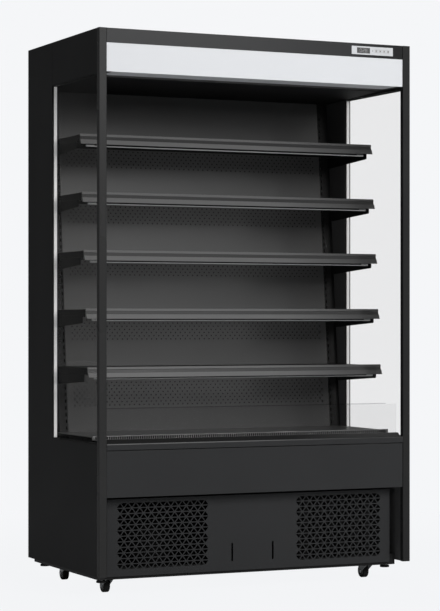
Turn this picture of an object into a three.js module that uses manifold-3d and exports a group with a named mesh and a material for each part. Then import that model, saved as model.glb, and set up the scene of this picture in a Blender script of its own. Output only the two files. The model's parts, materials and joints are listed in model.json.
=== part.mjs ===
// An open multideck display fridge: a chilled wall cabinet with five shelves, glazed sides, a lit
// header with an air curtain outlet, and a plug-in cooling unit behind a perforated front panel.
// Millimetres, +Z up. The origin is on the floor under the middle of the cabinet, and the front
// faces -Y. A "setback" is a distance back from the front plane; heights are above the floor.

import * as THREE from 'three';
import { mergeVertices } from 'three/addons/utils/BufferGeometryUtils.js';
import Module from 'manifold-3d';

const wasm = await Module();
wasm.setup();

// Overall
const width = 1250;
const depth = 725;
const height = 2000;
const gap = 0.3; // clearance between pieces that touch
const sheet = 2; // folded sheet metal
const skin = 0.8; // steel skins of the foamed walls

// Side walls, posts and glass
const wallThickness = 25;
const wallBottom = 75;
const pillarDepth = 260; // solid rear stretch of each side, behind the glass
const sillDrop = 20; // top of the solid lower side, under the glass, below the deck
const postWidth = 30;
const postDepth = 20;
const postRadius = 3;
const postWall = 2;
const paneThickness = 4;
const paneInset = 1; // outer pane behind the outer face of the wall
const spacerWidth = 15; // air space between the two panes
const spacerDepth = 8;
const spacerInset = 4; // spacer frame in from the edge of the glass

// Insulated body
const backThickness = 40;
const roofThickness = 40;
const tubThickness = 40;
const tubFrontThickness = 25;
const ductDepth = 77; // air duct between the back wall and the top of the perforated panels
const ductFlange = 18;
const ductSheet = 1;

// Header
const panelRecess = 3; // front panels stand this far behind the posts
const fasciaHeight = 51;
const lightBoxHeight = 102;
const diffuserThickness = 3;
const diffuserLip = 8;
const canopyThickness = 2;
const ceilingFall = 12; // the ceiling slopes down towards the back
const headerSkirt = 7; // header ends reach below the canopy
const outletSetback = 110; // air curtain outlet, front edge
const outletDepth = 75;
const outletMargin = 36; // canopy left at each end of the outlet
const honeycombThickness = 10;
const honeycombOverlap = 4; // honeycomb rests this far on the canopy
const honeycombWall = 4;
const honeycombRows = 2;
const honeycombCellLength = 72;
const ductWallThickness = 20; // wall between the light box and the air duct

// Controller
const controllerWidth = 174;
const controllerHeight = 30.5;
const controllerEndGap = 73; // from the right side of the cabinet
const controllerDrop = 26.3; // plate centre below the top of the cabinet
const controllerProud = 2.2; // plate face in front of the fascia
const controllerBodyDepth = 15;
const controllerLip = 5; // plate edge beyond the body, on the fascia
const displayWidth = 55;
const displayHeight = 21;
const displayInset = 0.6;
const displayOffset = -37.5; // display centre from the plate's centre
const keyCount = 4;
const keyWidth = 10;
const keyPitch = 16.8;
const firstKeyOffset = 16;
const keyThickness = 4.5;
const keyProud = 0.6;
const keyTravel = 0.8;
const keyClearance = 0.4;

// Base front
const ledgeHeight = 24;
const ledgeDrop = 42; // bottom of the ledge below the deck
const ledgeTopDepth = 20;
const ledgeRise = 13; // slope up to the air grille
const ledgeSlopeDepth = 17;
const ledgeShelfDepth = 20;
const ledgeRadius = 3;
const seam = 1;
const midPanelDrop = 207; // bottom of the middle panel below the deck
const lowerPanelSetback = 60;
const lowerPanelGap = 8; // dark gap under the middle panel
const lowerPanelBottom = 69;
const lowerPanelInset = 48; // panel edge in from the cabinet's side
const lowerPanelThickness = 1.5;
const lowerPanelFlange = 12;

// Perforation of the lower panel
const triangleColumns = 15;
const columnPitch = 22.9;
const rowPitch = 29.7;
const triangleBar = 7.4; // metal left between two holes
const fieldSideGap = 270; // centre of a field in from the cabinet's side
const fieldMargin = 15; // above and below a field
const latchSlotX = 82;
const latchSlotWidth = 7;
const latchSlotHeight = 67;
const latchSlotRise = 33; // above the bottom of the panel

// Air return and deck
const returnGrilleDepth = 70;
const returnGrilleRise = 9; // above the ledge
const returnGrilleSkirt = 22;
const returnSlotWidth = 14;
const returnSlotPitch = 38;
const returnSlotMargin = 12;
const deckHeight = 560;
const deckEdge = 15;

// Shelves
const shelfPitch = 210.2;
const lowestShelfSetback = 163;
const shelfStep = 18.75; // each shelf stands this much further back than the one below
const shelfRim = 22;
const shelfDrop = 12; // underside of the shelf rim above the foot of its price rail
const shelfSheet = 1.2;
const shelfEndGap = 2; // between the shelf and the side wall
const lampWidth = 18;
const lampHeight = 20;
const lampSeat = 4; // the lamp overlaps the shelf's front rim
const lampEndGap = 60;
const railTilt = Math.atan(14 / 40);
const railFace = 18;
const railGroove = 13;
const railGrooveDepth = 3;
const railLip = 9;
const railHook = 14; // reach of the rail over the shelf
const railHookThickness = 3;

// Uprights and brackets
const uprightWidth = 50.7;
const uprightFace = 34; // front strip, flush with the duct panels
const uprightRecess = 12; // the rest stands back by this
const uprightDepth = 40;
const uprightSheet = 2;
const uprightSlotInset = 4.5;
const uprightSlotWidth = 5;
const uprightSlotHeight = 16;
const uprightSlotPitch = 105;
const bracketInset = 47; // front end behind the foot of the shelf's price rail
const bracketThickness = 3;
const bracketFlange = 14;
const bracketFrontDrop = 15; // lower edge below the rail's foot at the front end
const bracketRearDrop = 33;

// Perforated duct panels
const ductSeamRise = 90; // seam of the two panels above the deck
const ductHole = 8;
const ductHolePitch = 140;
const ductBandDrop = 55; // hole band below each shelf
const ductHoleMargin = 40;

// Chassis, casters and levelling feet
const chassisBottom = 58;
const chassisHeight = 40;
const chassisSheet = 2;
const chassisFloor = 68; // underside of the floor sheet
const mountPlate = 70;
const mountPlateThickness = 3;
const trayWidth = 260;
const trayDepth = 150;
const trayHeight = 22;
const casterInset = 97; // swivel axis in from the cabinet's side
const frontCasterSetback = 158;
const rearCasterInset = 158; // from the back
const casterTrail = 28;
const wheelRadius = 25;
const wheelWidth = 22;
const wheelSides = 16;
const forkSheet = 2.5;
const forkHeadRadius = 19;
const forkSideGap = 1;
const crownClearance = 2.5;
const axleRadius = 4;
const axleClearance = 0.5;
const axleHeadRadius = 7;
const kingpinRadius = 5;
const kingpinClearance = 0.5;
const footInset = 50;
const frontFootSetback = 105;
const rearFootInset = 49; // from the back
const footRadius = 17.5;
const footBottom = 45;
const footStemRadius = 5;
const footStemTop = 125;

// Cooling unit
const compressorRadius = 78;
const compressorHeight = 175;
const compressorSideGap = 325; // axis in from the cabinet's left side
const compressorSetback = 340;
const condenserWidth = 300;
const condenserHeadroom = 31.7; // under the tub
const condenserDepth = 60;
const condenserSideGap = 270; // axis in from the cabinet's right side
const condenserSetback = 95;
const condenserFins = 14;
const evaporatorFins = 13;
const finBacking = 8; // web that carries the fins
const finShare = 0.4; // fin thickness over the fin pitch
const shroudDepth = 50;
const condenserFanMargin = 20; // of the shroud round the fan
const condenserMotorRadius = 38;
const evaporatorEndGap = 145; // in from the cabinet's sides
const evaporatorHeight = 110;
const evaporatorDepth = 120;
const evaporatorSetback = 260;
const evaporatorFanRadius = 46;
const evaporatorFanInset = 220; // fan axis in from the end of the coil
const evaporatorMotorRadius = 20;
const fanPlateSetback = 130;
const fanTipGap = 6;
const fanBlades = 5;
const fanHubShare = 0.28; // hub radius over tip radius
const fanChordShare = 1.3; // blade width over the fan's thickness
const fanPitch = 0.587; // radians
const fanSheet = 2;
const fanNose = 7; // closed end of the hub
const motorLength = 38;
const shaftRadius = 4;
const shaftClearance = 0.4;

// Rear ventilation
const ventPitch = 30;
const ventHeight = 14;
const ventEndGap = 225; // in from the cabinet's sides
const ventBottom = 130;
const ventHeadroom = 30; // under the tub
const cableHoleRadius = 12;
const cableHoleSideGap = 125; // in from the cabinet's right side
const cableHoleHeight = 200;

// Places that follow from the sizes above
const halfWidth = width / 2;
const innerHalf = halfWidth - wallThickness - gap;
const postInnerHalf = halfWidth - postWidth - gap;
const pillarFront = depth - pillarDepth;
const controllerCentreX = halfWidth - controllerEndGap - controllerWidth / 2;
const fasciaBottom = height - fasciaHeight;
const canopyBottom = fasciaBottom - lightBoxHeight;
const headerBottom = canopyBottom - headerSkirt;
const backFront = depth - backThickness;
const ductFront = backFront - ductDepth; // at the top, from where the back plane leans forward
const ceilingBackHeight = canopyBottom - ceilingFall;
const shelfCount = Math.floor((canopyBottom - deckHeight) / shelfPitch) - 1;
const shelves = Array.from({ length: shelfCount }, (_, i) => ({
  number: i + 1,
  foot: deckHeight + (i + 1) * shelfPitch,
  setback: lowestShelfSetback + i * shelfStep,
}));
const lean = shelfStep / shelfPitch; // the shelves step back with the uprights
const uprightInner = innerHalf - uprightWidth;
const sillHeight = deckHeight - sillDrop;
const ledgeBottom = deckHeight - ledgeDrop;
const midPanelBottom = deckHeight - midPanelDrop;
const lowerPanelTop = midPanelBottom - lowerPanelGap;
const ductSeamHeight = deckHeight + ductSeamRise;
const returnGrilleFront = ledgeTopDepth + ledgeSlopeDepth + ledgeShelfDepth + gap;
const returnGrilleTop = ledgeBottom + ledgeHeight + ledgeRise + returnGrilleRise;
const deckFront = returnGrilleFront + returnGrilleDepth + gap;

const paint = {
  wall: { color: 0x1f1f20, roughness: 0.55, metalness: 0.3 },
  post: { color: 0x3f3f40, roughness: 0.5, metalness: 0.3 },
  front: { color: 0x343435, roughness: 0.5, metalness: 0.3 },
  inner: { color: 0x3a3a3b, roughness: 0.5, metalness: 0.3 },
  grey: { color: 0x707274, roughness: 0.5, metalness: 0.2 },
  rail: { color: 0x66676a, roughness: 0.4, metalness: 0.4 },
  light: { color: 0xe2e3e5, roughness: 0.6, metalness: 0 },
  plastic: { color: 0x2a2a2b, roughness: 0.6, metalness: 0 },
  silver: { color: 0xd0d1d4, roughness: 0.4, metalness: 0.3 },
  key: { color: 0xb9babd, roughness: 0.6, metalness: 0 },
  zinc: { color: 0x8a8a8a, roughness: 0.4, metalness: 0.9 },
  rubber: { color: 0x1c1c1c, roughness: 0.9, metalness: 0 },
  coil: { color: 0xa9adb0, roughness: 0.4, metalness: 0.8 },
  glass: { color: 0xe6e9ea, roughness: 0.05, metalness: 0, transparent: true, opacity: 0.3 },
};

const fridge = new THREE.Group();

function add(name, finish, geometry) {
  const mesh = new THREE.Mesh(geometry, new THREE.MeshStandardMaterial(paint[finish]));
  mesh.name = name;
  fridge.add(mesh);
  return mesh;
}

const xAxis = new THREE.Vector3(1, 0, 0);
const yAxis = new THREE.Vector3(0, 1, 0);
const zAxis = new THREE.Vector3(0, 0, 1);

function fromFront(setback) {
  return setback - depth / 2;
}

function toSolid(geometry) {
  const bare = geometry.index ? geometry.toNonIndexed() : geometry.clone();
  bare.deleteAttribute('normal');
  bare.deleteAttribute('uv');
  const merged = mergeVertices(bare, 1e-4);
  const vertProperties = new Float32Array(merged.getAttribute('position').array);
  const triVerts = new Uint32Array(merged.index.array);
  return new wasm.Manifold(new wasm.Mesh({ numProp: 3, vertProperties, triVerts }));
}

function toGeometry(solid) {
  const { vertProperties, triVerts } = solid.getMesh();
  const geometry = new THREE.BufferGeometry();
  geometry.setAttribute('position', new THREE.BufferAttribute(vertProperties, 3));
  geometry.setIndex(new THREE.BufferAttribute(triVerts, 1));
  geometry.computeVertexNormals();
  return geometry;
}

function join(first, ...others) {
  return toGeometry(others.reduce((solid, other) => solid.add(toSolid(other)), toSolid(first)));
}

function cut(first, ...others) {
  return toGeometry(others.reduce((solid, other) => solid.subtract(toSolid(other)), toSolid(first)));
}

// A box between two values of x, two setbacks and two heights.
function block(x0, x1, setback0, setback1, z0, z1) {
  const box = new THREE.BoxGeometry(x1 - x0, setback1 - setback0, z1 - z0);
  return box.translate((x0 + x1) / 2, fromFront((setback0 + setback1) / 2), (z0 + z1) / 2);
}

// A side view of [setback, height] points, swept across from x0 to x1.
function sweepAcross(profile, x0, x1) {
  const points = profile.map(([setback, z]) => new THREE.Vector2(fromFront(setback), z));
  const swept = new THREE.ExtrudeGeometry(new THREE.Shape(points), { depth: x1 - x0, bevelEnabled: false });
  return swept.applyMatrix4(new THREE.Matrix4().makeBasis(yAxis, zAxis, xAxis)).translate(x0, 0, 0);
}

// A front view, a shape in x and height, given a thickness from its setback to the back.
function plate(shape, setback, thickness) {
  const flat = new THREE.ExtrudeGeometry(shape, { depth: thickness, bevelEnabled: false });
  flat.applyMatrix4(new THREE.Matrix4().makeBasis(xAxis, zAxis, yAxis.clone().negate()));
  return flat.translate(0, fromFront(setback + thickness), 0);
}

// A plan view, a shape or shapes in x and y, raised from z0 to z1.
function raise(plan, z0, z1) {
  const raised = new THREE.ExtrudeGeometry(plan, { depth: z1 - z0, bevelEnabled: false, curveSegments: 3 });
  return raised.translate(0, 0, z0);
}

function planShape(points) {
  return new THREE.Shape(points.map(([x, setback]) => new THREE.Vector2(x, fromFront(setback))));
}

function rectangle(x0, x1, z0, z1) {
  return [[x0, z0], [x1, z0], [x1, z1], [x0, z1]].map(([x, z]) => new THREE.Vector2(x, z));
}

// A round bar between two points, each [x, setback, height].
function rod(radius, start, end, sides) {
  const a = new THREE.Vector3(start[0], fromFront(start[1]), start[2]);
  const b = new THREE.Vector3(end[0], fromFront(end[1]), end[2]);
  const along = b.clone().sub(a);
  const bar = new THREE.CylinderGeometry(radius, radius, along.length(), sides);
  bar.applyQuaternion(new THREE.Quaternion().setFromUnitVectors(yAxis, along.clone().normalize()));
  return bar.translate((a.x + b.x) / 2, (a.y + b.y) / 2, (a.z + b.z) / 2);
}

// A body of revolution about a vertical axis, from [radius, height] points listed upwards.
function turned(profile, x, setback, sides) {
  const points = profile.map(([radius, z]) => new THREE.Vector2(radius, z));
  return new THREE.LatheGeometry(points, sides).rotateX(Math.PI / 2).translate(x, fromFront(setback), 0);
}

// Setback of the leaning back plane at a height.
function backPlane(z) {
  return ductFront - lean * (ceilingBackHeight - z);
}

// Slants an upright piece, built where its top stands, to the back plane.
function leaned(geometry) {
  const slant = new THREE.Matrix4().makeShear(0, 0, 0, 0, 0, lean);
  const slanted = geometry.applyMatrix4(slant).translate(0, -lean * ceilingBackHeight, 0);
  slanted.computeVertexNormals();
  return slanted;
}

function mirrored(geometry) {
  const copy = geometry.index ? geometry.toNonIndexed() : geometry.clone();
  copy.deleteAttribute('normal');
  copy.deleteAttribute('uv');
  const position = copy.getAttribute('position');
  for (let i = 0; i < position.count; i += 3) {
    const [a, b, c] = [0, 1, 2].map((k) => new THREE.Vector3().fromBufferAttribute(position, i + k));
    [a, c, b].forEach((corner, k) => position.setXYZ(i + k, -corner.x, corner.y, corner.z));
  }
  copy.computeVertexNormals();
  return copy;
}

function addPair(name, finish, leftGeometry) {
  add(`left_${name}`, finish, leftGeometry);
  add(`right_${name}`, finish, mirrored(leftGeometry));
}

// A channel seen from the side: an upright face with its upper and lower edges folded back.
function channelProfile(setback, bottom, top, reach) {
  return [
    [setback, bottom],
    [setback + reach, bottom],
    [setback + reach, bottom + sheet],
    [setback + sheet, bottom + sheet],
    [setback + sheet, top - sheet],
    [setback + reach, top - sheet],
    [setback + reach, top],
    [setback, top],
  ];
}

function addWalls() {
  const lPanel = [
    [postDepth + gap, wallBottom],
    [depth, wallBottom],
    [depth, height],
    [pillarFront, height],
    [pillarFront, sillHeight],
    [postDepth + gap, sillHeight],
  ];
  const foamSpace = [
    [postDepth + gap + skin, wallBottom - 1],
    [depth - skin, wallBottom - 1],
    [depth - skin, height - skin],
    [pillarFront + skin, height - skin],
    [pillarFront + skin, sillHeight - skin],
    [postDepth + gap + skin, sillHeight - skin],
  ];
  const wallInside = -halfWidth + wallThickness;
  addPair('side_panel', 'wall', cut(
    sweepAcross(lPanel, -halfWidth, wallInside),
    sweepAcross(foamSpace, -halfWidth + skin, wallInside - skin),
  ));

  const post = new THREE.Shape();
  const front = fromFront(0);
  post.moveTo(-halfWidth, front + postDepth);
  post.lineTo(-halfWidth, front + postRadius);
  post.absarc(-halfWidth + postRadius, front + postRadius, postRadius, Math.PI, 1.5 * Math.PI);
  const innerCorner = -halfWidth + postWidth - postRadius;
  post.absarc(innerCorner, front + postRadius, postRadius, 1.5 * Math.PI, 2 * Math.PI);
  post.lineTo(-halfWidth + postWidth, front + postDepth);
  const postHollow = block(
    -halfWidth + postWall, -halfWidth + postWidth - postWall,
    postWall, postDepth - postWall,
    wallBottom - 1, height - postWall,
  );
  addPair('front_post', 'post', cut(raise(post, wallBottom, height), postHollow));

  // The end cap of the header is a tray that opens towards the light box.
  const capFront = postDepth + gap;
  const capBack = pillarFront - gap;
  addPair('header_end', 'wall', cut(
    block(-halfWidth, wallInside, capFront, capBack, headerBottom, height),
    block(
      -halfWidth + skin, wallInside + 1,
      capFront + skin, capBack - skin,
      canopyBottom + canopyThickness, height - skin,
    ),
  ));
}

// Each side window is a double glazed unit: an outer pane with the spacer frame bonded to it,
// and an inner pane.
function addGlass() {
  const front = postDepth + gap;
  const rear = pillarFront - gap;
  const bottom = sillHeight + gap;
  const top = headerBottom - gap;
  const outerX = -halfWidth + paneInset;
  const spacerX = outerX + paneThickness;
  const outerPane = block(outerX, spacerX, front, rear, bottom, top);
  const frameOutside = block(
    spacerX - paneThickness / 2, spacerX + spacerWidth,
    front + spacerInset, rear - spacerInset, bottom + spacerInset, top - spacerInset,
  );
  const frameInside = block(
    spacerX, spacerX + spacerWidth + 1,
    front + spacerInset + spacerDepth, rear - spacerInset - spacerDepth,
    bottom + spacerInset + spacerDepth, top - spacerInset - spacerDepth,
  );
  addPair('outer_pane', 'glass', join(outerPane, cut(frameOutside, frameInside)));
  const innerX = spacerX + spacerWidth + gap;
  addPair('inner_pane', 'glass', block(innerX, innerX + paneThickness, front, rear, bottom, top));
}

// A foamed panel between the side walls, as its steel skins: the profile less the profile drawn in.
function skinned(profile) {
  const outside = sweepAcross(profile(0), -innerHalf, innerHalf);
  return cut(outside, sweepAcross(profile(skin), -innerHalf - 1, innerHalf + 1));
}

function addInsulatedBody() {
  const tubFront = postDepth + 2 * gap;
  const tubTop = ledgeBottom - gap;
  const tub = (inset) => [
    [tubFront + inset, midPanelBottom + inset],
    [backFront - gap - inset, midPanelBottom + inset],
    [backFront - gap - inset, midPanelBottom + tubThickness - inset],
    [tubFront + tubFrontThickness - inset, midPanelBottom + tubThickness - inset],
    [tubFront + tubFrontThickness - inset, tubTop - inset],
    [tubFront + inset, tubTop - inset],
  ];
  add('insulated_tub', 'inner', skinned(tub));

  const ventHalf = halfWidth - ventEndGap;
  const ventCount = Math.floor((midPanelBottom - ventHeadroom - ventBottom) / ventPitch);
  const vents = Array.from({ length: ventCount }, (_, i) => {
    const z = ventBottom + i * ventPitch;
    return block(-ventHalf, ventHalf, backFront - 1, depth + 1, z, z + ventHeight);
  });
  const cableHoleX = halfWidth - cableHoleSideGap;
  const cableHole = rod(
    cableHoleRadius,
    [cableHoleX, backFront - 1, cableHoleHeight],
    [cableHoleX, depth + 1, cableHoleHeight],
    12,
  );
  const backBottom = chassisBottom + chassisHeight + gap;
  const back = cut(
    block(-innerHalf, innerHalf, backFront, depth, backBottom, height),
    block(
      -innerHalf + skin, innerHalf - skin,
      backFront + skin, depth - skin,
      backBottom - 1, height - skin,
    ),
  );
  add('back_wall', 'wall', cut(back, ...vents, cableHole));

  const roofFront = postDepth + 2 * gap;
  const roofBottom = height - roofThickness;
  const ductWallBack = outletSetback - honeycombOverlap - gap;
  const ductWallFront = ductWallBack - ductWallThickness;
  const ductWallBottom = canopyBottom + canopyThickness + gap;
  const roof = (inset) => [
    [roofFront + inset, roofBottom + inset],
    [ductWallFront + inset, roofBottom + inset],
    [ductWallFront + inset, ductWallBottom + inset],
    [ductWallBack - inset, ductWallBottom + inset],
    [ductWallBack - inset, roofBottom + inset],
    [backFront - gap - inset, roofBottom + inset],
    [backFront - gap - inset, height - inset],
    [roofFront + inset, height - inset],
  ];
  add('roof_panel', 'wall', skinned(roof));
}

function addHeader() {
  const bodyLeft = controllerCentreX - controllerWidth / 2 + controllerLip;
  const bodyRight = controllerCentreX + controllerWidth / 2 - controllerLip;
  const bodyBottom = height - controllerDrop - controllerHeight / 2 + controllerLip;
  const bodyTop = height - controllerDrop + controllerHeight / 2 - controllerLip;
  const channel = channelProfile(panelRecess, fasciaBottom, height, postDepth - panelRecess);
  const fascia = sweepAcross(channel, -postInnerHalf, postInnerHalf);
  const opening = block(
    bodyLeft - gap, bodyRight + gap,
    panelRecess - 1, panelRecess + sheet + 1,
    bodyBottom - gap, bodyTop + gap,
  );
  add('header_fascia', 'front', cut(fascia, opening));

  const diffuserFront = panelRecess + 1;
  const diffuserBack = diffuserFront + diffuserThickness;
  const canopyTop = canopyBottom + canopyThickness;
  const diffuserTop = fasciaBottom - gap;
  const diffuser = [
    [diffuserFront, canopyBottom],
    [diffuserBack, canopyBottom],
    [diffuserBack, canopyTop + gap],
    [diffuserBack + diffuserLip, canopyTop + gap],
    [diffuserBack + diffuserLip, canopyTop + gap + diffuserThickness],
    [diffuserBack, canopyTop + gap + diffuserThickness],
    [diffuserBack, diffuserTop - diffuserThickness],
    [diffuserBack + diffuserLip, diffuserTop - diffuserThickness],
    [diffuserBack + diffuserLip, diffuserTop],
    [diffuserFront, diffuserTop],
  ];
  add('light_box_panel', 'light', sweepAcross(diffuser, -postInnerHalf, postInnerHalf));

  const canopy = [
    [diffuserBack + gap, canopyBottom],
    [outletSetback + outletDepth, canopyBottom],
    [ductFront - gap, ceilingBackHeight],
    [ductFront - gap, ceilingBackHeight + canopyThickness],
    [outletSetback + outletDepth, canopyTop],
    [diffuserBack + gap, canopyTop],
  ];
  const outletHalf = halfWidth - outletMargin;
  const window = block(
    -outletHalf, outletHalf, outletSetback, outletSetback + outletDepth, canopyBottom - 1, canopyTop + 1,
  );
  add('canopy_panel', 'grey', cut(sweepAcross(canopy, -postInnerHalf, postInnerHalf), window));

  add('air_outlet_honeycomb', 'plastic', honeycomb(outletHalf + honeycombOverlap, canopyTop + gap));
}

// The air outlet: a frame with rows of long cells, resting on the canopy round its window.
function honeycomb(half, bottom) {
  const front = outletSetback - honeycombOverlap;
  const back = outletSetback + outletDepth + honeycombOverlap;
  const rim = honeycombOverlap + honeycombWall;
  const cellDepth = (outletDepth - (honeycombRows + 1) * honeycombWall) / honeycombRows;
  const run = 2 * (half - rim);
  const columns = Math.floor((run + honeycombWall) / (honeycombCellLength + honeycombWall));
  const pitch = (run + honeycombWall) / columns;
  const cells = [];
  for (let row = 0; row < honeycombRows; row += 1) {
    const setback = front + rim + row * (cellDepth + honeycombWall);
    for (let column = 0; column < columns; column += 1) {
      const x = -half + rim + column * pitch;
      const right = x + pitch - honeycombWall;
      cells.push(planShape([
        [x, setback], [right, setback], [right, setback + cellDepth], [x, setback + cellDepth],
      ]));
    }
  }
  const top = bottom + honeycombThickness;
  return cut(block(-half, half, front, back, bottom, top), raise(cells, bottom - 1, top + 1));
}

function addController() {
  const plateFront = panelRecess - controllerProud;
  const plateBack = panelRecess - gap;
  const centreZ = height - controllerDrop;
  const left = controllerCentreX - controllerWidth / 2;
  const right = controllerCentreX + controllerWidth / 2;
  const bottom = centreZ - controllerHeight / 2;
  const top = centreZ + controllerHeight / 2;
  const face = block(left, right, plateFront, plateBack, bottom, top);
  const body = block(
    left + controllerLip, right - controllerLip,
    plateBack - 1, panelRecess + controllerBodyDepth,
    bottom + controllerLip, top - controllerLip,
  );
  const displayX = controllerCentreX + displayOffset;
  const display = block(
    displayX - displayWidth / 2, displayX + displayWidth / 2, plateFront - 1, plateFront + displayInset,
    centreZ - displayHeight / 2, centreZ + displayHeight / 2,
  );
  const keyFront = plateFront - keyProud;
  const wells = [];
  for (let i = 0; i < keyCount; i += 1) {
    const x = controllerCentreX + firstKeyOffset + i * keyPitch;
    const half = keyWidth / 2;
    const well = half + keyClearance;
    wells.push(block(
      x - well, x + well, plateFront - 1, keyFront + keyThickness + keyTravel + keyClearance,
      centreZ - well, centreZ + well,
    ));
    add(`key_${i + 1}`, 'key', block(
      x - half, x + half, keyFront, keyFront + keyThickness, centreZ - half, centreZ + half,
    ));
  }
  add('controller', 'silver', cut(join(face, body), display, ...wells));
}

function addBaseFront() {
  const ledgeTop = ledgeBottom + ledgeHeight;
  const slopeEnd = ledgeTopDepth + ledgeSlopeDepth;
  const shelfEnd = slopeEnd + ledgeShelfDepth;
  const shelfTop = ledgeTop + ledgeRise;
  const ledge = [
    [0, ledgeBottom],
    [sheet, ledgeBottom],
    [sheet, ledgeTop - ledgeRadius],
    [ledgeRadius, ledgeTop - sheet],
    [ledgeTopDepth + 1, ledgeTop - sheet],
    [slopeEnd + 1, shelfTop - sheet],
    [shelfEnd, shelfTop - sheet],
    [shelfEnd, shelfTop],
    [slopeEnd, shelfTop],
    [ledgeTopDepth, ledgeTop],
    [ledgeRadius, ledgeTop],
    [0, ledgeTop - ledgeRadius],
  ];
  add('front_ledge', 'front', sweepAcross(ledge, -postInnerHalf, postInnerHalf));

  const middle = channelProfile(panelRecess, midPanelBottom, ledgeBottom - seam, postDepth - panelRecess);
  add('mid_front_panel', 'front', sweepAcross(middle, -postInnerHalf, postInnerHalf));
  add('lower_grille_panel', 'front', lowerPanel());
}

// One triangular hole: the cell of the lattice, drawn in all round by half a bar.
function triangleHole(x, z, pointsUp) {
  const side = Math.hypot(columnPitch, rowPitch);
  const inradius = (columnPitch * rowPitch) / (columnPitch + side);
  const scale = 1 - triangleBar / 2 / inradius;
  const turn = pointsUp ? 1 : -1;
  const centre = z - turn * (rowPitch / 2 - inradius);
  const base = centre - turn * inradius * scale;
  const apex = centre + turn * (rowPitch - inradius) * scale;
  return new THREE.Shape([
    new THREE.Vector2(x - columnPitch * scale, base),
    new THREE.Vector2(x + columnPitch * scale, base),
    new THREE.Vector2(x, apex),
  ]);
}

function lowerPanel() {
  const half = halfWidth - lowerPanelInset;
  const outline = rectangle(-half, half, lowerPanelBottom, lowerPanelTop);
  const holes = [];
  const fieldCentreX = halfWidth - fieldSideGap;
  const fieldTop = lowerPanelTop - fieldMargin;
  const rows = Math.floor((fieldTop - fieldMargin - lowerPanelBottom) / rowPitch);
  for (const fieldX of [-fieldCentreX, fieldCentreX]) {
    for (let row = 0; row < rows; row += 1) {
      for (let column = 0; column < triangleColumns; column += 1) {
        const x = fieldX + (column - (triangleColumns - 1) / 2) * columnPitch;
        const z = fieldTop - (row + 0.5) * rowPitch;
        holes.push(triangleHole(x, z, (row + column) % 2 === 0));
      }
    }
  }
  const slotBottom = lowerPanelBottom + latchSlotRise;
  for (const x of [-latchSlotX, latchSlotX]) {
    const slotReach = latchSlotWidth / 2;
    const slot = rectangle(x - slotReach, x + slotReach, slotBottom, slotBottom + latchSlotHeight);
    holes.push(new THREE.Shape(slot));
  }
  const rim = new THREE.Shape(outline);
  rim.holes.push(new THREE.Path(
    rectangle(-half + sheet, half - sheet, lowerPanelBottom + sheet, lowerPanelTop - sheet),
  ));
  const face = plate(new THREE.Shape(outline), lowerPanelSetback, lowerPanelThickness);
  const punches = plate(holes, lowerPanelSetback - 1, lowerPanelThickness + 2);
  return cut(join(face, plate(rim, lowerPanelSetback, lowerPanelFlange)), punches);
}

function addDeck() {
  const front = returnGrilleFront;
  const back = returnGrilleFront + returnGrilleDepth;
  const skirt = returnGrilleTop - returnGrilleSkirt;
  const hood = [
    [front, skirt],
    [front + sheet, skirt],
    [front + sheet, returnGrilleTop - sheet],
    [back - sheet, returnGrilleTop - sheet],
    [back - sheet, skirt],
    [back, skirt],
    [back, returnGrilleTop],
    [front, returnGrilleTop],
  ];
  const slotHalf = innerHalf - returnSlotMargin;
  const slotCount = Math.floor((2 * slotHalf) / returnSlotPitch);
  const slots = Array.from({ length: slotCount }, (_, i) => {
    const x = (i - (slotCount - 1) / 2) * returnSlotPitch;
    return block(
      x - returnSlotWidth / 2, x + returnSlotWidth / 2, front - 1, back - returnSlotMargin,
      returnGrilleTop - returnGrilleRise, returnGrilleTop + 1,
    );
  });
  add('return_air_grille', 'plastic', cut(sweepAcross(hood, -innerHalf, innerHalf), ...slots));

  const deckBack = backPlane(deckHeight - deckEdge) - gap;
  const pan = [
    [deckFront, deckHeight - deckEdge],
    [deckFront + sheet, deckHeight - deckEdge],
    [deckFront + sheet, deckHeight - sheet],
    [deckBack - sheet, deckHeight - sheet],
    [deckBack - sheet, deckHeight - deckEdge],
    [deckBack, deckHeight - deckEdge],
    [deckBack, deckHeight],
    [deckFront, deckHeight],
  ];
  add('deck_pan', 'inner', sweepAcross(pan, -innerHalf, innerHalf));
}

// A leaning duct panel: a sheet with its side edges folded back, and a row of holes for each height.
function ductPanel(bottom, top, rowHeights) {
  const half = uprightInner - gap;
  const channel = raise(planShape([
    [-half, ductFront],
    [half, ductFront],
    [half, ductFront + ductFlange],
    [half - ductSheet, ductFront + ductFlange],
    [half - ductSheet, ductFront + ductSheet],
    [-half + ductSheet, ductFront + ductSheet],
    [-half + ductSheet, ductFront + ductFlange],
    [-half, ductFront + ductFlange],
  ]), bottom, top);
  const columns = Math.floor((2 * (half - ductHoleMargin)) / ductHolePitch) + 1;
  const reach = ductHole / 2;
  const holes = rowHeights.flatMap((z) => Array.from({ length: columns }, (_, i) => {
    const x = (i - (columns - 1) / 2) * ductHolePitch;
    return block(x - reach, x + reach, ductFront - 1, ductFront + ductSheet + 1, z - reach, z + reach);
  }));
  return leaned(cut(channel, ...holes));
}

function addDuctPanels() {
  const bandHeights = shelves.map(({ foot }) => foot - ductBandDrop);
  const lowest = midPanelBottom + tubThickness + gap;
  const highest = ceilingBackHeight - gap;
  add('lower_duct_panel', 'inner', ductPanel(lowest, ductSeamHeight - seam / 2, []));
  add('upper_duct_panel', 'inner', ductPanel(ductSeamHeight + seam / 2, highest, bandHeights));
}

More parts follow.
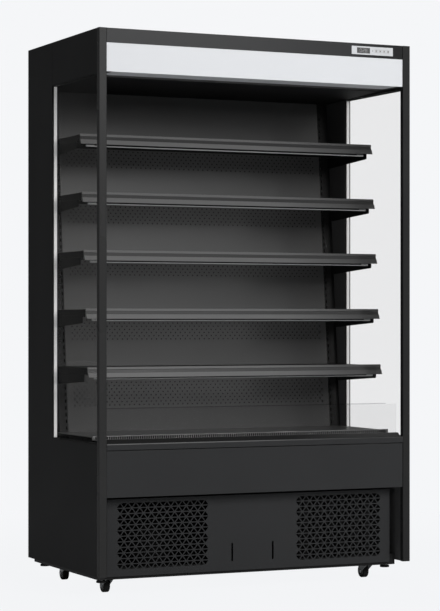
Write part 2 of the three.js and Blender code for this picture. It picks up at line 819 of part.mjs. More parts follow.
// A slotted upright that leans in the rear corner, with the brackets that hang in it.
function upright() {
  const bottom = midPanelBottom + tubThickness + gap;
  const top = ceilingBackHeight - gap;
  const outer = -innerHalf;
  const inner = -uprightInner;
  const step = inner - uprightFace;
  const web = ductFront + uprightRecess;
  const channel = raise(planShape([
    [outer, web],
    [step, web],
    [step, ductFront],
    [inner, ductFront],
    [inner, ductFront + ductFlange],
    [inner - uprightSheet, ductFront + ductFlange],
    [inner - uprightSheet, ductFront + uprightSheet],
    [step + uprightSheet, ductFront + uprightSheet],
    [step + uprightSheet, web + uprightSheet],
    [outer + uprightSheet, web + uprightSheet],
    [outer + uprightSheet, ductFront + uprightDepth],
    [outer, ductFront + uprightDepth],
  ]), bottom, top);
  const slotRight = inner - uprightSlotInset;
  const slotLeft = slotRight - uprightSlotWidth;
  const slotCount = Math.floor((top - bottom) / uprightSlotPitch);
  const slots = Array.from({ length: slotCount }, (_, i) => {
    const z = bottom + (i + 0.5) * uprightSlotPitch;
    return block(slotLeft, slotRight, ductFront - 1, ductFront + uprightSheet + 1, z, z + uprightSlotHeight);
  });
  return join(leaned(cut(channel, ...slots)), ...shelves.map(bracket));
}

// A shelf bracket: a blade beside the wall with a seat along its top, rooted in the upright's web.
function bracket({ foot, setback }) {
  const x = -innerHalf + shelfEndGap;
  const front = setback + bracketInset;
  const rear = (z) => backPlane(z) + uprightRecess + uprightSheet / 2;
  const top = foot + shelfDrop - gap;
  const heel = foot - bracketRearDrop;
  const blade = [
    [front, top],
    [front, foot - bracketFrontDrop + bracketThickness],
    [front + bracketThickness, foot - bracketFrontDrop],
    [rear(heel), heel],
    [rear(top), top],
  ];
  const seatBottom = top - bracketThickness;
  const seat = block(x, x + bracketFlange, front, rear(seatBottom), seatBottom, top);
  return join(sweepAcross(blade, x, x + bracketThickness), seat);
}

// A shelf: an upturned tray that ends at the back plane, and a lamp housing under its front.
function shelf({ foot, setback }) {
  const front = setback + railBack + gap;
  const bottom = foot + shelfDrop;
  const back = backPlane(bottom) - gap;
  const half = innerHalf - shelfEndGap;
  const tray = block(-half, half, front, back, bottom, bottom + shelfRim);
  const hollow = block(
    -half + shelfSheet, half - shelfSheet, front + shelfSheet, back - shelfSheet,
    bottom - 1, bottom + shelfRim - shelfSheet,
  );
  const lampHalf = half - lampEndGap;
  const lamp = block(
    -lampHalf, lampHalf, front + shelfSheet / 2, front + shelfSheet + lampWidth,
    bottom + lampSeat - lampHeight, bottom + lampSeat,
  );
  return join(cut(tray, hollow), lamp);
}

const railHeight = railFace + railGroove + railLip;
const railBack = railHeight * Math.sin(railTilt) + railGrooveDepth - 0.5;

// The price rail's section: a tilted face, a groove for the tickets, a lip, and a hook over the shelf.
function priceRail({ foot, setback }) {
  const face = (up, out) => [
    setback + up * Math.sin(railTilt) - out * Math.cos(railTilt),
    foot + up * Math.cos(railTilt) + out * Math.sin(railTilt),
  ];
  const shelfTop = foot + shelfDrop + shelfRim;
  const hookBottom = shelfTop + gap;
  const hookTop = hookBottom + railHookThickness;
  const section = [
    face(0, 0),
    [setback + railBack, foot + shelfDrop / 2],
    [setback + railBack, hookBottom],
    [setback + railBack + railHook, hookBottom],
    [setback + railBack + railHook, hookTop],
    face(railHeight + 1, -railGrooveDepth),
    face(railHeight, 0),
    face(railFace + railGroove, 0),
    face(railFace + railGroove, -railGrooveDepth),
    face(railFace, -railGrooveDepth),
    face(railFace, 0),
  ];
  const half = innerHalf - shelfEndGap;
  return sweepAcross(section, -half, half);
}

function addShelves() {
  addPair('upright', 'inner', upright());
  for (const place of shelves) {
    add(`shelf_${place.number}`, 'inner', shelf(place));
    add(`price_rail_${place.number}`, 'rail', priceRail(place));
  }
}

const rearCasterSetback = depth - rearCasterInset;
const rearFootSetback = depth - rearFootInset;
const corners = [
  { name: 'front_left', side: -1, caster: frontCasterSetback, foot: frontFootSetback },
  { name: 'front_right', side: 1, caster: frontCasterSetback, foot: frontFootSetback },
  { name: 'rear_left', side: -1, caster: rearCasterSetback, foot: rearFootSetback },
  { name: 'rear_right', side: 1, caster: rearCasterSetback, foot: rearFootSetback },
];
const casterX = halfWidth - casterInset;
const footX = halfWidth - footInset;
const mountBottom = chassisFloor - mountPlateThickness;
const floorTop = chassisFloor + chassisSheet;

// The chassis: a floor sheet with a rim up and down, mounting plates for the casters and feet,
// and the tray in which the melt water dries off.
function chassis() {
  const front = lowerPanelSetback + lowerPanelFlange + gap;
  const bottom = chassisBottom;
  const top = chassisBottom + chassisHeight;
  const inside = innerHalf - chassisSheet;
  const insideFront = front + chassisSheet;
  const insideBack = depth - chassisSheet;
  const rim = block(-innerHalf, innerHalf, front, depth, bottom, top);
  const above = block(-inside, inside, insideFront, insideBack, floorTop, top + 1);
  const below = block(-inside, inside, insideFront, insideBack, bottom - 1, chassisFloor);
  const plates = [];
  const holes = [];
  for (const { side, caster, foot } of corners) {
    plates.push(mountingPlate(side * casterX, caster));
    plates.push(mountingPlate(side * (footX - mountPlate / 4), foot));
    holes.push(verticalHole(side * casterX, caster, kingpinRadius + kingpinClearance));
    holes.push(verticalHole(side * footX, foot, footStemRadius + gap));
  }
  const trayLeft = -trayWidth / 2;
  const trayFront = compressorSetback;
  const tray = cut(
    block(trayLeft, -trayLeft, trayFront, trayFront + trayDepth, floorTop - 1, floorTop + trayHeight),
    block(
      trayLeft + sheet, -trayLeft - sheet, trayFront + sheet, trayFront + trayDepth - sheet,
      floorTop + sheet, floorTop + trayHeight + 1,
    ),
  );
  return cut(join(cut(rim, above, below), ...plates, tray), ...holes);
}

function mountingPlate(x, setback) {
  const half = mountPlate / 2;
  const reach = Math.min(half, innerHalf - chassisSheet / 2 - Math.abs(x));
  const [low, high] = x < 0 ? [x - reach, x + half] : [x - half, x + reach];
  return block(low, high, setback - half / 2, setback + half / 2, mountBottom, chassisFloor + 1);
}

function verticalHole(x, setback, radius) {
  return rod(radius, [x, setback, chassisBottom - 1], [x, setback, floorTop + 1], 12);
}

// A caster fork, pointing back: a turned head with its kingpin, a crown and two cheeks, and the axle.
function casterFork(x, setback) {
  const axleSetback = setback + casterTrail;
  const half = wheelWidth / 2 + forkSideGap;
  const crownBottom = 2 * wheelRadius + crownClearance;
  const crownTop = crownBottom + forkSheet;
  const boss = axleHeadRadius + 2;
  const cheeks = [
    [setback - forkHeadRadius, crownTop],
    [setback - forkHeadRadius, crownBottom - forkSheet],
    [axleSetback - boss, wheelRadius],
    [axleSetback - boss * 0.7, wheelRadius - boss * 0.7],
    [axleSetback, wheelRadius - boss],
    [axleSetback + boss * 0.7, wheelRadius - boss * 0.7],
    [axleSetback + boss, wheelRadius],
    [axleSetback + wheelRadius * 0.6, crownTop],
  ];
  const yoke = cut(
    sweepAcross(cheeks, x - half - forkSheet, x + half + forkSheet),
    block(x - half, x + half, setback - 2 * forkHeadRadius, axleSetback + 2 * wheelRadius, -1, crownBottom),
  );
  const head = turned([
    [0, crownBottom],
    [forkHeadRadius - 2, crownBottom],
    [forkHeadRadius, crownTop + 2],
    [forkHeadRadius - 3, mountBottom - gap],
    [kingpinRadius, mountBottom - gap],
    [kingpinRadius, floorTop + 3],
    [0, floorTop + 3],
  ], x, setback, 12);
  const axle = rod(
    axleRadius, [x - half - 1, axleSetback, wheelRadius], [x + half + 1, axleSetback, wheelRadius], 12,
  );
  const heads = [-1, 1].map((side) => rod(
    axleHeadRadius,
    [x + side * (half + 1), axleSetback, wheelRadius],
    [x + side * (half + forkSheet + 3), axleSetback, wheelRadius],
    6,
  ));
  return join(yoke, head, axle, ...heads);
}

// A wheel on its side: a bore, a flat hub and a tread with rounded shoulders. A flat of the tread is
// down, so its corners stand a little outside the rolling radius.
function casterWheel(x, setback) {
  const half = wheelWidth / 2;
  const rim = wheelRadius / Math.cos(Math.PI / wheelSides);
  const bore = axleRadius + axleClearance;
  const profile = [
    [bore, -half + 1.5],
    [bore, half - 1.5],
    [wheelRadius * 0.5, half - 1.5],
    [wheelRadius * 0.85, half],
    [rim, half - 3.5],
    [rim, -half + 3.5],
    [wheelRadius * 0.85, -half],
    [wheelRadius * 0.5, -half + 1.5],
    [bore, -half + 1.5],
  ].reverse().map(([radius, across]) => new THREE.Vector2(radius, across));
  const wheel = new THREE.LatheGeometry(profile, wheelSides);
  wheel.rotateY(Math.PI / wheelSides).rotateZ(Math.PI / 2);
  return wheel.translate(x, fromFront(setback + casterTrail), wheelRadius);
}

function levellingFoot(x, setback) {
  return turned([
    [0, footBottom],
    [footRadius - 1.5, footBottom],
    [footRadius, footBottom + 1.5],
    [footRadius, footBottom + 5],
    [footStemRadius + 4, footBottom + 9],
    [footStemRadius, footBottom + 11],
    [footStemRadius, footStemTop],
    [0, footStemTop],
  ], x, setback, 12);
}

function addChassis() {
  add('chassis', 'plastic', chassis());
  for (const { name, side, caster, foot } of corners) {
    add(`${name}_caster_fork`, 'zinc', casterFork(side * casterX, caster));
    add(`${name}_caster_wheel`, 'rubber', casterWheel(side * casterX, caster));
    add(`${name}_foot`, 'rubber', levellingFoot(side * footX, foot));
  }
}

// An axial fan that blows along Y: a hub with a blind bore, and pitched blades with round corners.
function fan(x, setback, z, tipRadius, thickness, boreFrom, boreTo) {
  const hubRadius = tipRadius * fanHubShare;
  const chord = thickness * fanChordShare;
  const outline = new THREE.Shape();
  outline.moveTo(hubRadius * 0.8, -chord / 4);
  outline.lineTo(tipRadius * 0.8, -chord / 2);
  outline.quadraticCurveTo(tipRadius * 0.97, -chord / 2, tipRadius * 0.97, 0);
  outline.quadraticCurveTo(tipRadius * 0.97, chord / 2, tipRadius * 0.8, chord / 2);
  outline.lineTo(hubRadius * 0.8, chord / 4);
  const blades = Array.from({ length: fanBlades }, (_, i) => {
    const blade = raise(outline, -fanSheet / 2, fanSheet / 2).rotateX(fanPitch + Math.PI / 2);
    blade.rotateY((2 * Math.PI * i) / fanBlades);
    return blade.translate(x, fromFront(setback + thickness / 2), z);
  });
  const hub = rod(hubRadius, [x, setback, z], [x, setback + thickness, z], 16);
  const bore = rod(shaftRadius + shaftClearance, [x, boreFrom, z], [x, boreTo, z], 12);
  return cut(join(hub, ...blades), bore);
}

function addCompressor() {
  const bottom = floorTop + gap;
  const top = bottom + compressorHeight;
  const r = compressorRadius;
  const compressorX = compressorSideGap - halfWidth;
  const shell = turned([
    [0, bottom],
    [r * 0.8, bottom],
    [r * 0.95, bottom + 20],
    [r, bottom + 45],
    [r, top - 60],
    [r * 0.93, top - 30],
    [r * 0.6, top - 6],
    [0, top],
  ], compressorX, compressorSetback, 20);
  const feet = block(
    compressorX - r - 15, compressorX + r + 15,
    compressorSetback - r * 0.7, compressorSetback + r * 0.7,
    bottom, bottom + 4,
  );
  const terminalBox = block(
    compressorX + r - 12, compressorX + r + 22,
    compressorSetback - 28, compressorSetback + 28,
    bottom + 60, bottom + 120,
  );
  add('compressor', 'plastic', join(shell, feet, terminalBox));
}

function finned(x0, x1, setback0, setback1, z0, z1, count) {
  const pitch = (x1 - x0) / count;
  const grooves = Array.from({ length: count - 1 }, (_, i) => {
    const x = x0 + (i + 1) * pitch;
    const reach = (pitch * (1 - finShare)) / 2;
    return block(x - reach, x + reach, setback0 - 1, setback1 - finBacking, z0 - 1, z1 + 1);
  });
  return cut(block(x0, x1, setback0, setback1, z0, z1), ...grooves);
}

// The condenser, its shroud, and the motor on a bar across the shroud's ring.
function addCondenser() {
  const condenserX = halfWidth - condenserSideGap;
  const bottom = floorTop + gap;
  const top = midPanelBottom - condenserHeadroom;
  const centreZ = (bottom + top) / 2;
  const condenserFanRadius = Math.min(condenserWidth, top - bottom) / 2 - condenserFanMargin;
  const left = condenserX - condenserWidth / 2;
  const right = condenserX + condenserWidth / 2;
  const coilBack = condenserSetback + condenserDepth;
  const shroudBack = coilBack + shroudDepth;
  const ringRadius = condenserFanRadius + fanTipGap;
  const at = (setback) => [condenserX, setback, centreZ];
  const shroud = cut(
    block(left, right, coilBack - 1, shroudBack, bottom, top),
    block(left + sheet, right - sheet, coilBack, shroudBack - sheet, bottom + sheet, top - sheet),
    rod(ringRadius, at(shroudBack - sheet - 1), at(shroudBack + 1), 24),
  );
  const barReach = ringRadius + 10;
  const bar = block(
    condenserX - barReach, condenserX + barReach,
    shroudBack - sheet / 2, shroudBack + sheet,
    centreZ - 12, centreZ + 12,
  );
  const motor = rod(condenserMotorRadius, at(shroudBack), at(shroudBack + motorLength), 16);
  const fanFront = coilBack + fanTipGap;
  const fanThickness = shroudDepth - 2 * fanTipGap - sheet;
  const shaft = rod(shaftRadius, at(fanFront + fanNose + 1), at(shroudBack + 1), 12);
  const coil = finned(left, right, condenserSetback, coilBack, bottom, top, condenserFins);
  add('condenser', 'coil', join(coil, shroud, bar, motor, shaft));
  add('condenser_fan', 'plastic', fan(
    condenserX, fanFront, centreZ, condenserFanRadius, fanThickness,
    fanFront + fanNose, fanFront + fanThickness + 1,
  ));
}

// The evaporator in the tub under the deck, with its cover, and two fans in the plate before it.
function addEvaporator() {
  const bottom = midPanelBottom + tubThickness + gap;
  const top = bottom + evaporatorHeight;
  const coverTop = top + sheet;
  const half = halfWidth - evaporatorEndGap;
  const back = evaporatorSetback + evaporatorDepth;
  const centreZ = (bottom + top) / 2;
  const ringRadius = evaporatorFanRadius + fanTipGap / 2;
  const plateBack = fanPlateSetback + sheet;
  const thickness = evaporatorFanRadius * 0.55;
  const fanFront = plateBack + fanTipGap / 2;
  const pieces = [
    finned(-half, half, evaporatorSetback, back, bottom, top, evaporatorFins),
    block(-half, half, fanPlateSetback, back, top - 1, coverTop),
  ];
  let fanPlate = block(-half, half, fanPlateSetback, plateBack, bottom, coverTop);
  for (const [name, side] of [['left', -1], ['right', 1]]) {
    const x = side * (half - evaporatorFanInset);
    const at = (setback) => [x, setback, centreZ];
    const barReach = ringRadius + 8;
    const boreEnd = fanFront + thickness - fanNose;
    fanPlate = cut(fanPlate, rod(ringRadius, at(fanPlateSetback - 1), at(plateBack + 1), 20));
    pieces.push(block(
      x - barReach, x + barReach,
      fanPlateSetback - sheet, fanPlateSetback + sheet / 2,
      centreZ - 8, centreZ + 8,
    ));
    pieces.push(rod(evaporatorMotorRadius, at(fanPlateSetback - motorLength), at(fanPlateSetback), 12));
    pieces.push(rod(shaftRadius, at(fanPlateSetback), at(boreEnd - 1), 12));
    add(`${name}_evaporator_fan`, 'plastic', fan(
      x, fanFront, centreZ, evaporatorFanRadius, thickness, fanFront - 1, boreEnd,
    ));
  }
  add('evaporator', 'coil', join(fanPlate, ...pieces));
}

addWalls();
addGlass();
addInsulatedBody();
addHeader();
addController();
addBaseFront();
addDeck();
addDuctPanels();
addShelves();
addChassis();
addCompressor();
addCondenser();
addEvaporator();

export default fridge;
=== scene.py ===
import json
import math

import bpy
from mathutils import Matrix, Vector

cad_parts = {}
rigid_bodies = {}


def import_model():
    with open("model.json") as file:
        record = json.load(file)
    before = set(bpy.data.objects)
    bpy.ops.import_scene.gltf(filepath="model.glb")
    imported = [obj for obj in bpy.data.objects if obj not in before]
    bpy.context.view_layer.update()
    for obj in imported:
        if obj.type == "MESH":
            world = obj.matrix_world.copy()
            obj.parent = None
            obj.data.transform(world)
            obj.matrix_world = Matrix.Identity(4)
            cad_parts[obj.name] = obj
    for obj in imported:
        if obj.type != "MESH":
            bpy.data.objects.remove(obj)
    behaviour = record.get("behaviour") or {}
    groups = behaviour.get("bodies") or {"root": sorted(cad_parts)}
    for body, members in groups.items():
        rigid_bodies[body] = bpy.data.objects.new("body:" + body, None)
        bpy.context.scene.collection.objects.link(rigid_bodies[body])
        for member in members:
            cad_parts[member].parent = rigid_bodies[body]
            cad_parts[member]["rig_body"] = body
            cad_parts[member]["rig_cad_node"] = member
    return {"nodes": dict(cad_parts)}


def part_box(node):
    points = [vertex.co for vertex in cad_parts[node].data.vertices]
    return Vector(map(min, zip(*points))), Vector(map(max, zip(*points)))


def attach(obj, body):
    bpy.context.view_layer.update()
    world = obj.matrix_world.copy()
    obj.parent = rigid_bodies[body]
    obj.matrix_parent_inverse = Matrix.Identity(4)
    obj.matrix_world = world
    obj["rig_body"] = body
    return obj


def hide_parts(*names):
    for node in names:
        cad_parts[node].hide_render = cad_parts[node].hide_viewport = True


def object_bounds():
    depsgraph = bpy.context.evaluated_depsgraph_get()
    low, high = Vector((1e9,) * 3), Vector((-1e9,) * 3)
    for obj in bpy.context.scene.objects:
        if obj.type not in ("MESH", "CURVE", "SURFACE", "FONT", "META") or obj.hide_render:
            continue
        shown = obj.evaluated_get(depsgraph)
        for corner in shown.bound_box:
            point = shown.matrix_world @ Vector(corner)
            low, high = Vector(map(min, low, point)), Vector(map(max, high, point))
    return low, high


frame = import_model()
cadBox = [list(corner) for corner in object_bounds()]
print("frame loaded")

# Metres, the cabinet's front faces -Y
mm = 0.001
frontY = cadBox[0][1]
sides = {"left": -1, "right": 1}
wheelCorners = ("front_left", "front_right", "rear_left", "rear_right")
shelfNumbers = range(1, 6)

past = 1 * mm  # how far a cutter goes beyond what it cuts
hair = 0.1 * mm  # the gap between pieces that meet, and the reach of a pick by place
mostly = 0.9  # the least part of a direction that counts as facing or following an axis


def clearSelection():
    if bpy.context.object and bpy.context.object.mode != "OBJECT":
        bpy.ops.object.mode_set(mode="OBJECT")
    bpy.ops.object.select_all(action="DESELECT")


def workOn(piece):
    clearSelection()
    piece.select_set(True)
    bpy.context.view_layer.objects.active = piece


def settle(name):
    piece = bpy.context.object
    piece.name = piece.data.name = name
    bpy.ops.object.transform_apply(location=True, rotation=True, scale=True)
    return piece


def blockBetween(name, low, high):
    clearSelection()
    middle = [(a + b) / 2 for a, b in zip(low, high)]
    size = [b - a for a, b in zip(low, high)]
    bpy.ops.mesh.primitive_cube_add(size=1, location=middle, scale=size)
    return settle(name)


turnOnto = {"X": (0, math.pi / 2, 0), "Y": (math.pi / 2, 0, 0), "Z": (0, 0, 0)}


def roundBar(name, middle, radius, length, along="Z", sides=24):
    clearSelection()
    bpy.ops.mesh.primitive_cylinder_add(
        vertices=sides, radius=radius, depth=length, location=middle, rotation=turnOnto[along])
    return settle(name)


def startPick(piece, kind):
    workOn(piece)
    bpy.ops.object.mode_set(mode="EDIT")
    bpy.ops.mesh.select_mode(type=kind)
    bpy.ops.mesh.select_all(action="DESELECT")
    bpy.ops.object.mode_set(mode="OBJECT")


# Both picks leave edit mode open for the operators that follow.
def pickFaces(piece, wanted):
    startPick(piece, "FACE")
    for face in piece.data.polygons:
        face.select = wanted(face.center, face.normal)
    bpy.ops.object.mode_set(mode="EDIT")


def pickEdges(piece, wanted):
    startPick(piece, "EDGE")
    corners = piece.data.vertices
    for edge in piece.data.edges:
        start, end = (corners[i].co for i in edge.vertices)
        edge.select = wanted((start + end) / 2, (end - start).normalized())
    bpy.ops.object.mode_set(mode="EDIT")


def leaveEditing():
    bpy.ops.object.mode_set(mode="OBJECT")


def roundEdges(piece, radius, steps, wanted):
    pickEdges(piece, wanted)
    bpy.ops.mesh.bevel(offset=radius, segments=steps, affect="EDGES")
    leaveEditing()


# The edges of a punch that run through the sheet
def frontToBack(middle, along):
    return abs(along.y) > mostly


def sliceAcross(piece, point, normal, clear=False):
    workOn(piece)
    bpy.ops.object.mode_set(mode="EDIT")
    bpy.ops.mesh.select_all(action="SELECT")
    bpy.ops.mesh.bisect(plane_co=point, plane_no=normal, use_fill=clear, clear_outer=clear)
    leaveEditing()


def pullOut(move):
    bpy.ops.mesh.extrude_region_move(TRANSFORM_OT_translate={"value": move})
    leaveEditing()


def applyModifier(piece, kind, **settings):
    workOn(piece)
    modifier = piece.modifiers.new(kind.lower(), kind)
    for key, value in settings.items():
        setattr(modifier, key, value)
    bpy.ops.object.modifier_apply(modifier=modifier.name)


def combine(piece, operation, others):
    for other in others:
        applyModifier(piece, "BOOLEAN", operation=operation, solver="MANIFOLD", object=other)
        workOn(other)
        bpy.ops.object.delete()
    return piece


def cutAway(piece, *cutters):
    return combine(piece, "DIFFERENCE", cutters)


def fuse(piece, *others):
    return combine(piece, "UNION", others)


def repeatAlong(piece, step, count):
    applyModifier(
        piece, "ARRAY", use_relative_offset=False, use_constant_offset=True,
        constant_offset_displace=step, count=count)


def joinPieces(first, *others):
    workOn(first)
    for other in others:
        other.select_set(True)
    bpy.ops.object.join()
    return first


def copyOf(piece, name, move):
    workOn(piece)
    bpy.ops.object.duplicate(linked=False)
    bpy.ops.transform.translate(value=move)
    return settle(name)


softening = {"angle": math.radians(35), "weld": 0.01 * mm, "flat": math.radians(1)}


def softenEdges(piece, width, steps=2):
    workOn(piece)
    bpy.ops.object.shade_smooth()
    applyModifier(
        piece, "BEVEL", width=width, segments=steps, limit_method="ANGLE",
        angle_limit=softening["angle"], miter_outer="MITER_ARC")
    applyModifier(piece, "WEIGHTED_NORMAL", weight=100, keep_sharp=False)
    return piece


# A merged copy of a CAD node with its edges softened. The node itself is left as it is.
def softenedCopy(node, name, width, steps=2):
    source = frame["nodes"][node]
    piece = source.copy()
    piece.data = source.data.copy()
    bpy.context.scene.collection.objects.link(piece)
    piece.parent = None
    piece.name = piece.data.name = name
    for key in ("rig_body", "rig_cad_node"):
        del piece[key]
    workOn(piece)
    bpy.ops.object.mode_set(mode="EDIT")
    bpy.ops.mesh.select_mode(type="VERT")
    bpy.ops.mesh.select_all(action="SELECT")
    bpy.ops.mesh.remove_doubles(threshold=softening["weld"])
    bpy.ops.mesh.dissolve_limited(angle_limit=softening["flat"])
    leaveEditing()
    if piece.data.has_custom_normals:
        bpy.ops.mesh.customdata_custom_splitnormals_clear()
    return softenEdges(piece, width, steps)


def coatWith(piece, names):
    piece.data.materials.clear()
    for name in names if isinstance(names, list) else [names]:
        piece.data.materials.append(finishes[name])


def fit(piece, finish, replaced=(), body="cabinet"):
    coatWith(piece, finish)
    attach(piece, body)
    if replaced:
        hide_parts(*replaced)
    return piece


# Gives each face the number of its finish in the piece's list of finishes
def paintFaces(piece, finishNumber):
    for face in piece.data.polygons:
        face.material_index = int(finishNumber(face.center, face.normal))


def softFit(piece, edge, finish, replaced=(), body="cabinet", steps=2):
    return fit(softenEdges(piece, edge, steps), finish, replaced, body)


def fitBlock(name, low, high, edge, finish, slot, replaced=()):
    softFit(blockBetween(name, low, high), edge, finish, replaced)


def fitCopy(node, name, edge, finish, steps=2, body="cabinet"):
    return fit(softenedCopy(node, name, edge, steps), finish, [node], body)


# The back panel and the uprights lean back with the steps of the shelves.
lowestRail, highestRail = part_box("price_rail_1")[0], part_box("price_rail_5")[0]
lean = (highestRail.y - lowestRail.y) / (highestRail.z - lowestRail.z)
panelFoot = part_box("upper_duct_panel")[0]


def backPlane(z):
    return panelFoot.y + lean * (z - panelFoot.z)


# A block between two heights, its front and rear measured from the back plane
def leaningBlock(name, x0, x1, front, rear, z0, z1):
    foot = backPlane(z0)
    block = blockBetween(name, (x0, foot + front, z0), (x1, foot + rear, z1))
    pickFaces(block, lambda centre, normal: normal.z > mostly)
    bpy.ops.transform.translate(value=(0, lean * (z1 - z0), 0))
    leaveEditing()
    return block


# Camera, matched to the photograph's vanishing points
camera = {"place": (-3.3914, -7.2947, 0.9783), "turn": (90, 0, -25), "lens": 125.77, "rise": 0.0229}
clearSelection()
bpy.ops.object.camera_add(location=camera["place"], rotation=[math.radians(a) for a in camera["turn"]])
photoCamera = bpy.context.object
photoCamera.data.lens = camera["lens"]
photoCamera.data.shift_y = camera["rise"]
bpy.context.scene.camera = photoCamera
bpy.context.scene.view_settings.view_transform = "Standard"
print("camera set")

# Studio: a pale floor and background, a tall soft lamp in front, a weaker one behind
studio = {
    "pale": (0.913, 0.922, 0.939, 1),
    "fill": (0.2, 0.202, 0.205, 1),
    "floorShade": (0.78, 0.79, 0.80, 1),
    "floorSize": 80,
    "shadowShare": 0.03,
    "shadowReach": (1.0, 3.0),
    "key": {"place": (1.3, -6.3, 3.7), "size": (3.7, 3.0), "aim": (0, 0, 1.2), "power": 330},
    "back": {"place": (1.2, 6.0, 4.5), "size": (3.4, 3.0), "aim": (0, 0, 1.0), "power": 120},
}


def addNode(tree, kind, **inputs):
    node = tree.nodes.new(kind)
    for key, value in inputs.items():
        node.inputs[key.replace("_", " ")].default_value = value
    return node


def feed(tree, socket, value):
    if isinstance(value, (int, float)):
        socket.default_value = value
    else:
        tree.links.new(value, socket)


def mathNode(tree, operation, *values):
    node = tree.nodes.new("ShaderNodeMath")
    node.operation = operation
    for socket, value in zip(node.inputs, values):
        feed(tree, socket, value)
    return node.outputs[0]


def mixShaders(tree, share, first, second):
    mix = tree.nodes.new("ShaderNodeMixShader")
    tree.links.new(share, mix.inputs["Fac"])
    tree.links.new(first.outputs[0], mix.inputs[1])
    tree.links.new(second.outputs[0], mix.inputs[2])
    tree.links.new(mix.outputs[0], tree.nodes["Material Output"].inputs["Surface"])


def startMaterial(name):
    material = bpy.data.materials.new(name)
    material.use_nodes = True
    return material, material.node_tree, material.node_tree.nodes["Principled BSDF"]


# One for what the camera sees by itself or straight through glass, nought for the light on the object
def paleRays(tree):
    rays = tree.nodes.new("ShaderNodeLightPath")
    unreflected = mathNode(tree, "LESS_THAN", rays.outputs["Glossy Depth"], 0.5)
    through = mathNode(tree, "MULTIPLY", rays.outputs["Is Transmission Ray"], unreflected)
    return mathNode(tree, "MAXIMUM", rays.outputs["Is Camera Ray"], through)


def setBackground():
    world = bpy.data.worlds.new("paleStudio")
    bpy.context.scene.world = world
    world.use_nodes = True
    tree = world.node_tree
    choose = tree.nodes.new("ShaderNodeMix")
    choose.data_type = "RGBA"
    # the colour sockets share their names with others, so they are taken by number
    choose.inputs[6].default_value = studio["fill"]
    choose.inputs[7].default_value = studio["pale"]
    tree.links.new(paleRays(tree), choose.inputs["Factor"])
    tree.links.new(choose.outputs[2], tree.nodes["Background"].inputs["Color"])


def setFloor():
    clearSelection()
    bpy.ops.mesh.primitive_plane_add(size=studio["floorSize"])
    floor = bpy.context.object
    floor.name = "studioFloor"
    finish, tree, shader = startMaterial("studioFloor")
    shader.inputs["Base Color"].default_value = studio["floorShade"]
    shader.inputs["Roughness"].default_value = 1
    shader.inputs["Specular IOR Level"].default_value = 0
    glow = addNode(tree, "ShaderNodeEmission", Color=studio["pale"], Strength=1)
    place = tree.nodes.new("ShaderNodeTexCoord")
    reach = tree.nodes.new("ShaderNodeVectorMath")
    reach.operation = "LENGTH"
    near, far = studio["shadowReach"]
    fade = addNode(
        tree, "ShaderNodeMapRange", From_Min=near, From_Max=far, To_Min=1 - studio["shadowShare"], To_Max=1)
    fade.interpolation_type = "SMOOTHSTEP"
    tree.links.new(place.outputs["Object"], reach.inputs[0])
    tree.links.new(reach.outputs["Value"], fade.inputs["Value"])
    mixShaders(tree, mathNode(tree, "MULTIPLY", fade.outputs["Result"], paleRays(tree)), shader, glow)
    floor.data.materials.append(finish)


def areaLamp(name, place, size, power):
    clearSelection()
    bpy.ops.object.light_add(type="AREA", location=place)
    light = bpy.context.object
    light.name = name
    light.data.shape = "RECTANGLE"
    light.data.size, light.data.size_y = size
    light.data.energy = power
    light.visible_camera = False
    return light


def addSoftLamp(name):
    lamp = studio[name]
    light = areaLamp(name + "Lamp", lamp["place"], lamp["size"], lamp["power"])
    towards = Vector(lamp["aim"]) - Vector(lamp["place"])
    light.rotation_euler = towards.to_track_quat("-Z", "Y").to_euler()


# The weak strips under the shelves light the panel behind each bay.
stripLamps = {
    "left": -0.58, "right": 0.36, "back": 62 * mm, "down": 10 * mm, "width": 8 * mm, "turn": math.radians(80),
    "power": {1: 0.7, 2: 0.65, 3: 0.54, 4: 0.52, 5: 0.2},
}


def addStripLamp(number):
    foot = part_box(f"price_rail_{number}")[0]
    left, right = stripLamps["left"], stripLamps["right"]
    place = ((left + right) / 2, foot.y + stripLamps["back"], foot.z - stripLamps["down"])
    light = areaLamp(
        f"shelfStripLight{number}", place, (right - left, stripLamps["width"]), stripLamps["power"][number])
    light.rotation_euler = (stripLamps["turn"], 0, 0)


setBackground()
setFloor()
addSoftLamp("key")
addSoftLamp("back")
for number in shelfNumbers:
    addStripLamp(number)
print("studio set")


# Shared effects are node groups. A socket's kind follows from the size of its value.
def startGroup(name, inputs, outputs):
    group = bpy.data.node_groups.new(name, "ShaderNodeTree")
    kinds = {1: "NodeSocketFloat", 3: "NodeSocketVector", 4: "NodeSocketColor"}
    for label, value in inputs.items():
        kind = kinds[len(value) if isinstance(value, tuple) else 1]
        group.interface.new_socket(label, in_out="INPUT", socket_type=kind).default_value = value
    for label in outputs:
        kind = kinds[4 if label == "Colour" else 1]
        group.interface.new_socket(label, in_out="OUTPUT", socket_type=kind)
    return group, group.nodes.new("NodeGroupInput").outputs, group.nodes.new("NodeGroupOutput").inputs


def noiseOf(tree, place, scaleFrom, detail):
    noise = addNode(tree, "ShaderNodeTexNoise", Detail=detail)
    tree.links.new(place, noise.inputs["Vector"])
    tree.links.new(scaleFrom, noise.inputs["Scale"])
    return noise.outputs["Fac"]


def rangeOf(tree, value, low, high):
    span = tree.nodes.new("ShaderNodeMapRange")
    tree.links.new(value, span.inputs["Value"])
    feed(tree, span.inputs["To Min"], low)
    feed(tree, span.inputs["To Max"], high)
    return span.outputs["Result"]


def shadeColour(group, given, result, tone):
    shade = group.nodes.new("ShaderNodeVectorMath")
    shade.operation = "SCALE"
    group.links.new(given["Colour"], shade.inputs[0])
    group.links.new(tone, shade.inputs["Scale"])
    group.links.new(shade.outputs["Vector"], result["Colour"])


def roughenBy(group, given, result, pattern):
    rough = rangeOf(group, pattern, given["Roughness Low"], given["Roughness High"])
    group.links.new(rough, result["Roughness"])


